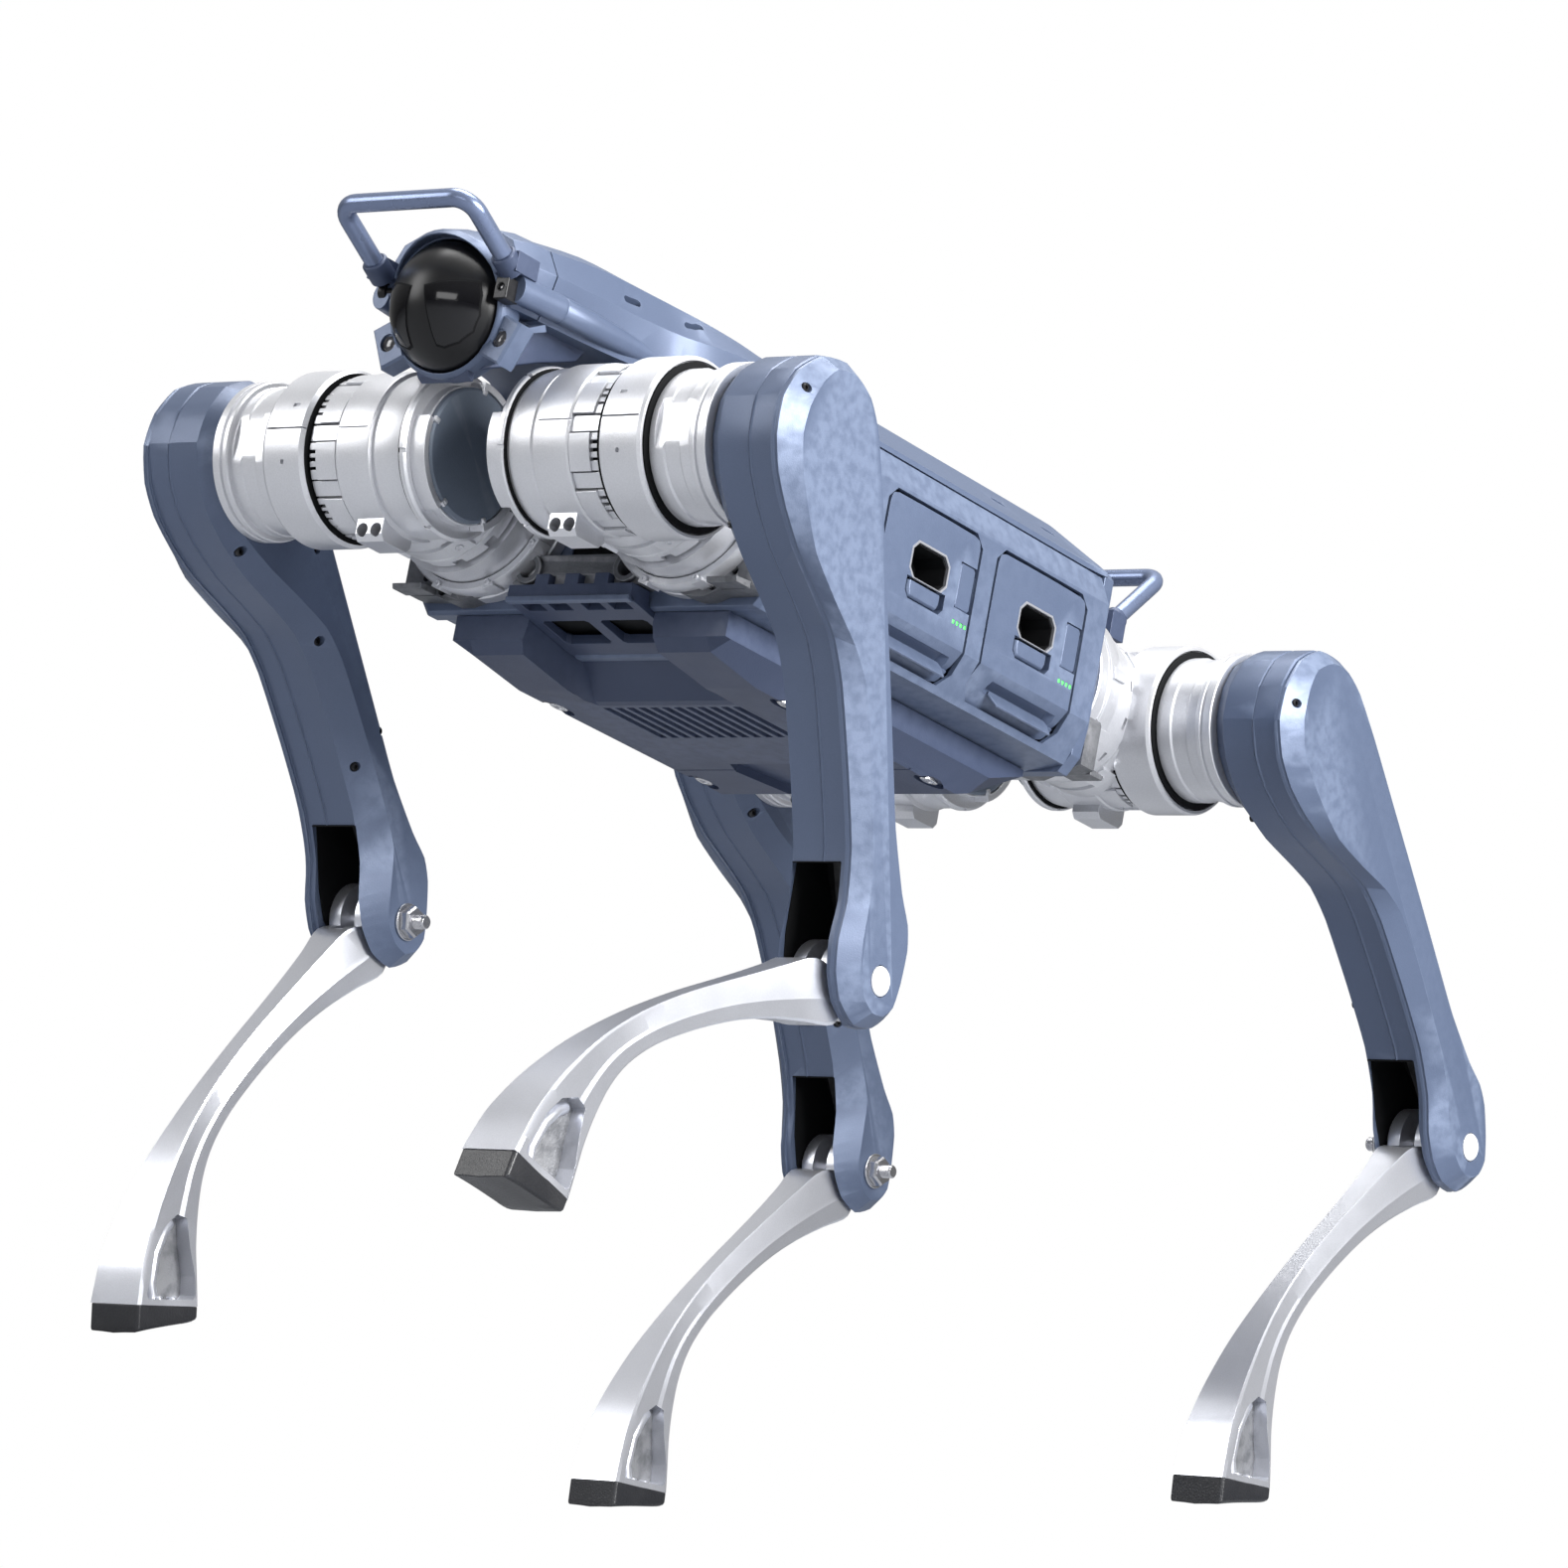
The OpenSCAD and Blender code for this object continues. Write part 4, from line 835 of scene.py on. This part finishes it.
def battery(name, cx):
    m = TRUNK @ shift(cx, 0, 0)
    body = "battery_" + name
    outline = smooth_ring(chamfered(-42.8, 42.8, -46, 35.8, 6.5), 3, 0.6)
    keep = span([(y, z) for y, z in [(-70, 50), (127, 50), (127, -28), (104.3, -57), (-70, -57)]], -60,
        60)
    recess = loft([[(x, y, z) for x, z in chamfered(-18.8 + i, 16.8 - i, -4, 17.2 - i, 4.6)]
        for y, i in ((105.4, 1.6), (122, 1), (130, 0))])
    seat_cut = slab([(-19, -3.6), (-19, -12), (-15.5, -15.6), (13.5, -15.6), (17, -12), (17, -3.6)],
        118.6, 130)
    button_pocket = box(-43, -28.4, 124.6, 130, -6.9, 18.9)
    fold = degrees(atan2(127 - 104.3, 57 - 28))
    low = shift(0, 119.6, -37.5) @ spin(fold, "X")
    low_slot = moved(slab([(-60, -12), (22, -12), (26, 0.6), (21, 4.4), (-34, 4.4), (-38, 0.6),
        (-60, 0.6)], -1.5, 6), low)
    leds = [box(-42.4 + 3.7 * i, -40.2 + 3.7 * i, 126, 130, -15.7, -13.3) for i in range(4)]
    piece(body + "_pack", slab(outline, -59, 127), m, body, BLUE, [body], keep=keep,
        cuts=[recess, seat_cut, button_pocket, low_slot, join(*leds)], bevel=0.55, crease=20)
    piece(body + "_slot_lip",
        moved(slab([(-34, -8.6), (19, -8.6), (22.5, -1), (19.8, 2), (-34, 2), (-36, -1)], -1.6, -0.2),
        low), m, body, BLUE, slot="dark_shell", bevel=0.4, crease=25)
    # Painted shadow: a near-black sheet lining the inside of the grip recess.
    shade_sheet = loft([[(x, y, z) for x, z in chamfered(-18.6 + i, 16.6 - i, -3.9, 17 - i, 4.6)]
        for y, i in ((105.6, 1.7), (122, 1.2), (125.6, 0.9))])
    piece(body + "_recess_shadow", shade_sheet, m, body, PAINTED_SHADOW_AND_BLACK, bevel=0,
        cuts=[loft([[(x, y, z) for x, z in chamfered(-18 + i, 16 - i, -3.2, 16.4 - i, 4.4)]
        for y, i in ((106.4, 1.8), (122, 1.3), (130, 0.9))])])
    # Painted highlight: a bright aluminium ring round the recess mouth stands in for light caught on the recess
    # rim.
    outer, inner = chamfered(-18.9, 16.9, -4.2, 17.3, 4.9), chamfered(-17.6, 15.6, -3.2, 16.1, 4.4)
    rim_highlight_rings = [[(x, y, z) for x, z in ring] for ring, y in ((outer, 126.2), (outer, 127.2),
        (inner, 127.2), (inner, 123))]
    piece(body + "_recess_rim_highlight", wrap(rim_highlight_rings), m, body, BRIGHT,
        cuts=[box(-30, 30, 118, 131, -20, -3.7)], bevel=0, crease=25)
    piece(body + "_lights", join(*[box(-42.2 + 3.7 * i, -40.4 + 3.7 * i, 125.8, 126.9, -15.5, -13.5)
        for i in range(4)]), m, body, LED, slot="lamp_glass", bevel=0.2)
    lip = loft([[(x, y, z) for x, z in ((-16 + i, -5), (-16 + i, -11 + i), (-13.5, -14.2 + i),
        (11.5, -14.2 + i), (14 - i, -11 + i), (14 - i, -5))] for y, i in ((119.6, 0), (125.2, 0),
        (126.6, 1.2))])
    piece("latch_" + name + "_lip", lip, m, "latch_" + name, BLUE, ["latch_" + name], slot="dark_shell",
        bevel=0.5, crease=25)
    pad = loft([[(x, y, z) for x, z in chamfered(-42.5 + i, -28.9 - i, -6.5 + i, 18.5 - i, 1.4)]
        for y, i in ((124.8, 0), (126.3, 0), (126.8, 0.5))])
    piece("button_" + name + "_pad", pad, m, "button_" + name, BLUE, ["button_" + name], bevel=0.2,
        crease=25)


for which in ("front", "rear"):
    lo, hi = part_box("battery_" + which)
    battery(which, ((lo.x + hi.x) / 2 - TRUNK_O.x) / MM)

# ---------------------------------------------------------------- belly
rim = [(146, -56.3), (146, -70), (141, -77), (98, -83), (-92, -83), (-104, -79), (-134, -60),
    (-134, -56.3)]
pan = loft([[(x, y, max(z, -56.3 - (83 - 56.3) * k) if k < 1 else z) for x, z in rim]
    for y, k in ((-92, 0.52), (-80, 1), (80, 1), (92, 0.52))])
ramp = loft([[(x, -w, z), (x, w, z), (x, w + 7, -90), (x, -w - 7, -90)]
    for x, w, z in ((66, 46, -84), (74, 46, -82), (88, 43, -71.5), (100, 41.6, -64), (108, 41.6, -60),
    (160, 41.6, -60))])
notch = box(99, 160, -42.2, 42.2, -90, -40)
fins = [box(12, 66, y - 2.4, y + 2.4, -90, -67) for y in range(-44, 45, 8)]
tail_recess = [(-112, -30), (-112, 30), (-50, 40), (-36, 34), (-36, -34), (-50, -40)]
BELLY_SCREWS = [(x, s * 77) for x in (66, -70) for s in (-1, 1)]
tabs = []
for x, y in BELLY_SCREWS:
    tabs.append(plate([(x + 13 * cos(a), y + 5 * sin(a)) for a in [2 * pi * i / 24 for i in range(24)]],
        -90, -81))
seam = box(-47.4, -46.4, -93, 93, -90, -82.2)
piece("belly_cover", pan, TRUNK, "trunk", DARK_PAINT_AND_SHADE, ["belly_pan"], cuts=[ramp, notch, join(*fins),
    plate(tail_recess, -90, -78), join(*tabs), seam], bevel=0.7, crease=14)
# Painted shadow: a near-black plate over the fins, dark in the gaps between them.
piece("fin_gap_shadow", box(10, 68, -47, 47, -67.6, -66.8), TRUNK, "trunk", PAINTED_SHADOW_AND_BLACK, bevel=0)
piece("belly_screws", join(*[moved(screw((0, 0, 0), (0, 0, -1), 3.4, 1.6), shift(x, y, -81.2)
    @ Matrix.Diagonal((2.1, 1, 1, 1))) for x, y in BELLY_SCREWS]), TRUNK, "trunk", STEEL,
    ["cover_screws"], bevel=0)

# air scoop: upright lip with teeth, vents in the sloping plate below it, and a bar at its rear edge
scoop_side = [(168, -46.8), (168, -54), (166.4, -55.6), (108, -66), (101, -66), (101, -61), (146, -55.5),
    (151, -54.5), (153, -46.8)]
vents = [box(155.5, 163, y, y + 12.5, -72, -50) for y in (-35, -17, 5, 23)]
large = [plate([(119, y + 2), (121, y), (142, y), (144, y + 2), (144, y + 29), (142, y + 31),
    (121, y + 31), (119, y + 29)], -80, -50) for y in (-35, 4)]
piece("scoop", slab(scoop_side, -41.6, 41.6), TRUNK, "trunk", DARK_PAINT_AND_SHADE, ["belly_duct"],
    cuts=[join(*vents), join(*large)], bevel=0.6, crease=20)
piece("scoop_edge", slab([(167.2, -53.2), (169.4, -53.6), (169.4, -56.4), (165.6, -57), (162, -55.6)],
    -41.6, 41.6), TRUNK, "trunk", BLUE, slot="dark_shell", bevel=0.5, crease=25)
piece("scoop_teeth", join(*[box(157, 168, y - 4.6, y + 4.6, -47.4, -40.9) for y in (-20, 0, 20)]), TRUNK,
    "trunk", DARK_PAINT_AND_SHADE, bevel=0.4, crease=25)
piece("scoop_bar", loft([[(x, y, z) for x, z in ((97, -61.5), (97, -65.5), (99, -67.4), (105, -67.4),
    (107, -65), (106, -61.5))] for y in (-40, 40)]), TRUNK, "trunk", BLUE, slot="dark_shell", bevel=0.8,
    crease=25)
# Painted shadow: near-black plates inside the scoop, behind the large openings and the vents.
piece("scoop_inside_shadow", join(box(110, 150, -38, 38, -56.4, -55.8), box(154.5, 164.5, -38, 38, -51.6, -51)),
    TRUNK, "trunk", PAINTED_SHADOW_AND_BLACK, bevel=0)


# ---------------------------------------------------------------- end plates and castings of the trunk
def casting(name, node, d):
    """End plate, bracket and motor rings of one end; d is 1 at the front and -1 at the rear."""
    hole_y, hole_z = 33, -37
    m = TRUNK @ Matrix.Diagonal((d, 1, 1, 1))
    motor_bores = [pin_x(46.4, 130, 200, s * ROLL_Y, 0, 96) for s in (-1, 1)]
    section = [(-112, -56), (112, -56), (119, -46), (121, -28), (121, 57), (117, 61), (-117, 61),
        (-121, 57), (-121, -28), (-119, -46)]
    plate_solid = loft([[(x, y * k, z * k) for y, z in section] for x, k in ((138.2, 1), (147, 1),
        (150, 0.975))])
    piece(name + "_end_plate", plate_solid, m, "trunk", BLUE, [node], slot="dark_casting",
        cuts=[*motor_bores, box(130, 160, -18, 18, -40, 20)], bevel=0.6, crease=16)
    # bracket under the motors: two bored bosses, three notches, and an arm to each side
    half = [(0, -29), (28, -29), (38, -28), (52, -22), (58, -18), (116, -18), (118, -22), (118, -48),
        (112, -50), (94, -50.5), (86, -53.4), (78, -53.4), (63, -49), (52, -42), (47, -40), (42, -46),
        (25, -46), (25, -40.5), (15, -40.5), (15, -46), (5, -46), (5, -40.5), (0, -40.5)]
    outline = half + [(-y, z) for y, z in reversed(half[1:-1])]
    holes = [pin_x(5.2, 140, 180, s * hole_y, hole_z) for s in (-1, 1)]
    for s in (-1, 1):
        holes += [pin_x(r, 156, 180, s * y, z, 24) for y, z, r in ((84, -45, 2.9), (91, -47.4, 2.9),
            (104, -40, 2.2), (50, -34, 2))]
    piece(name + "_bracket", span(outline, 150, 163), m, "trunk", CAST, cuts=[*motor_bores, join(*holes)],
        bevel=1.0, crease=25)
    extras, rings = [], []
    for s in (-1, 1):
        at = shift(0, s * hole_y, hole_z)
        extras.append(moved(along_x(ring_solid([(5.2, 150), (8.6, 150), (8.6, 165.4), (8, 166),
            (5.2, 166)], 40)), at))
        rings.append(moved(along_x(ring_solid([(46.5, 150), (50.4, 150), (51, 151), (51, 158),
            (50, 158.6), (50, 160), (51, 160.6), (51, 170), (50, 172), (46.5, 172)], 96)),
            shift(0, s * ROLL_Y, 0)))
        for a in (-160, -120, -80, 80, 120, 160):
            lug = join(box(162, 173, -3.4, 3.4, 50, 52.4), screw((173, 0, 49.4), (1, 0, 0), 1.8, 1))
            rings.append(moved(lug, shift(0, s * ROLL_Y, 0) @ spin(a, "X")))
        extras.append(slab([(163, -22), (163, -44), (165, -44), (172, -30), (172, -26)],
            *sorted((s * 56, s * 60))))
        extras.append(slab([(163, -46), (163, -50), (175, -50), (176, -47)], *sorted((s * 96, s * 116))))
    piece(name + "_castings", join(*extras), m, "trunk", CAST, bevel=0.5, crease=28)
    piece(name + "_motor_rings", join(*rings), m, "trunk", SILVER, bevel=0.3, crease=28)
    # Painted shadow: a near-black block in the opening in the middle of the end plate.
    piece(name + "_opening_shadow", box(139, 149, -17.5, 17.5, -39, 19), m, "trunk", PAINTED_SHADOW_AND_BLACK,
        slot="dark_casting", bevel=0)


casting("front", "front_bulkhead", 1)
casting("rear", "rear_bulkhead", -1)

# ---------------------------------------------------------------- carried-over CAD nodes
slot_of = {p["node"]: p["material_slot"] for p in frame["record"]["subparts"]}
for name, node in frame["nodes"].items():
    look = NODE_LOOKS[slot_of[name]]
    node.data.materials.clear()
    node.data.materials.append(look)
    if not node.hide_render:
        m = node.modifiers.new("edges", "BEVEL")
        m.width, m.segments, m.limit_method = 0.7 * MM, 2, "ANGLE"
        m.angle_limit = radians(30)
        m.use_clamp_overlap = True

# ---------------------------------------------------------------- stage, light and camera
floor_mat = bpy.data.materials.new("floor")
floor_mat.use_nodes = True
nt = floor_mat.node_tree
paint = nt.nodes["Principled BSDF"]
seen_directly = nt.nodes.new("ShaderNodeLightPath").outputs["Is Camera Ray"]
tint = nt.nodes.new("ShaderNodeMix")
tint.data_type = "RGBA"
tint.inputs["A"].default_value = (0.30, 0.31, 0.33, 1)
tint.inputs["B"].default_value = (0.80, 0.81, 0.83, 1)
nt.links.new(seen_directly, tint.inputs["Factor"])
nt.links.new(tint.outputs["Result"], paint.inputs["Base Color"])
paint.inputs["Roughness"].default_value = 0.8
under = nt.nodes.new("ShaderNodeNewGeometry").outputs["Backfacing"]
clear = nt.nodes.new("ShaderNodeBsdfTransparent")
both = nt.nodes.new("ShaderNodeMixShader")
nt.links.new(under, both.inputs[0])
nt.links.new(paint.outputs[0], both.inputs[1])
nt.links.new(clear.outputs[0], both.inputs[2])
nt.links.new(both.outputs[0], nt.nodes["Material Output"].inputs["Surface"])
floor = new_object("floor", ([(-6, -6, -0.0005), (6, -6, -0.0005), (6, 6, -0.0005), (-6, 6, -0.0005)],
    [[0, 1, 2, 3]]), Matrix.Identity(4))
if floor.data.polygons[0].normal.z < 0:
    floor.data.flip_normals()
floor.data.materials.append(floor_mat)

world = bpy.data.worlds.new("studio")
scene.world = world
world.use_nodes = True
wt = world.node_tree
backdrop = wt.nodes["Background"]
backdrop.inputs["Color"].default_value = (1, 1, 1, 1)
backdrop.inputs["Strength"].default_value = 1.0
glow = wt.nodes.new("ShaderNodeBackground")
sky = wt.nodes.new("ShaderNodeTexCoord")
split = wt.nodes.new("ShaderNodeSeparateXYZ")
height = wt.nodes.new("ShaderNodeMapRange")
for i, v in enumerate((-0.2, 0.7, 0.05, 1.0)):
    height.inputs[i + 1].default_value = v
wt.links.new(sky.outputs["Generated"], split.inputs[0])
wt.links.new(split.outputs["Z"], height.inputs[0])
wt.links.new(height.outputs[0], glow.inputs["Color"])
glow.inputs["Strength"].default_value = 0.45
seen = wt.nodes.new("ShaderNodeLightPath").outputs["Is Camera Ray"]
choose = wt.nodes.new("ShaderNodeMixShader")
wt.links.new(seen, choose.inputs[0])
wt.links.new(glow.outputs[0], choose.inputs[1])
wt.links.new(backdrop.outputs[0], choose.inputs[2])
wt.links.new(choose.outputs[0], wt.nodes["World Output"].inputs["Surface"])


def softbox(name, at, aim, size, watts):
    light = bpy.data.lights.new(name, "AREA")
    light.shape, light.size, light.size_y, light.energy = "RECTANGLE", size[0], size[1], watts
    o = bpy.data.objects.new(name, light)
    scene.collection.objects.link(o)
    o.location = at
    o.rotation_mode = "QUATERNION"
    o.rotation_quaternion = (Vector(aim) - Vector(at)).to_track_quat("-Z", "Y")


softbox("left_box", (0.2, 2.6, 1.3), (0, 0, 0.35), (1.8, 1.2), 165)
softbox("front_right_box", (2.2, -1.7, 1.3), (0.1, 0, 0.4), (1.0, 1.4), 30)
softbox("top_box", (0.2, 0.0, 2.6), (0, 0, 0.4), (2.0, 1.4), 75)
softbox("low_front_box", (2.6, 0.6, 0.6), (0.1, 0, 0.45), (1.4, 0.4), 7)

CAMERA_AT = Vector((3.25711, 2.54822, -0.63585))
ahead = Vector((-0.7648, -0.5988, 0.2378)).normalized()
right = Vector((-0.5723, 0.8009, 0.1760))
right = (right - ahead * right.dot(ahead)).normalized()
up = right.cross(ahead)
cam = bpy.data.objects.new("camera", bpy.data.cameras.new("camera"))
scene.collection.objects.link(cam)
turn = Matrix((right, up, -ahead)).transposed()
cam.matrix_world = Matrix.Translation(CAMERA_AT) @ turn.to_4x4()
cam.data.sensor_width = 36
cam.data.lens = 178.3
cam.data.clip_end = 50
scene.camera = cam
scene.view_settings.view_transform = "Standard"
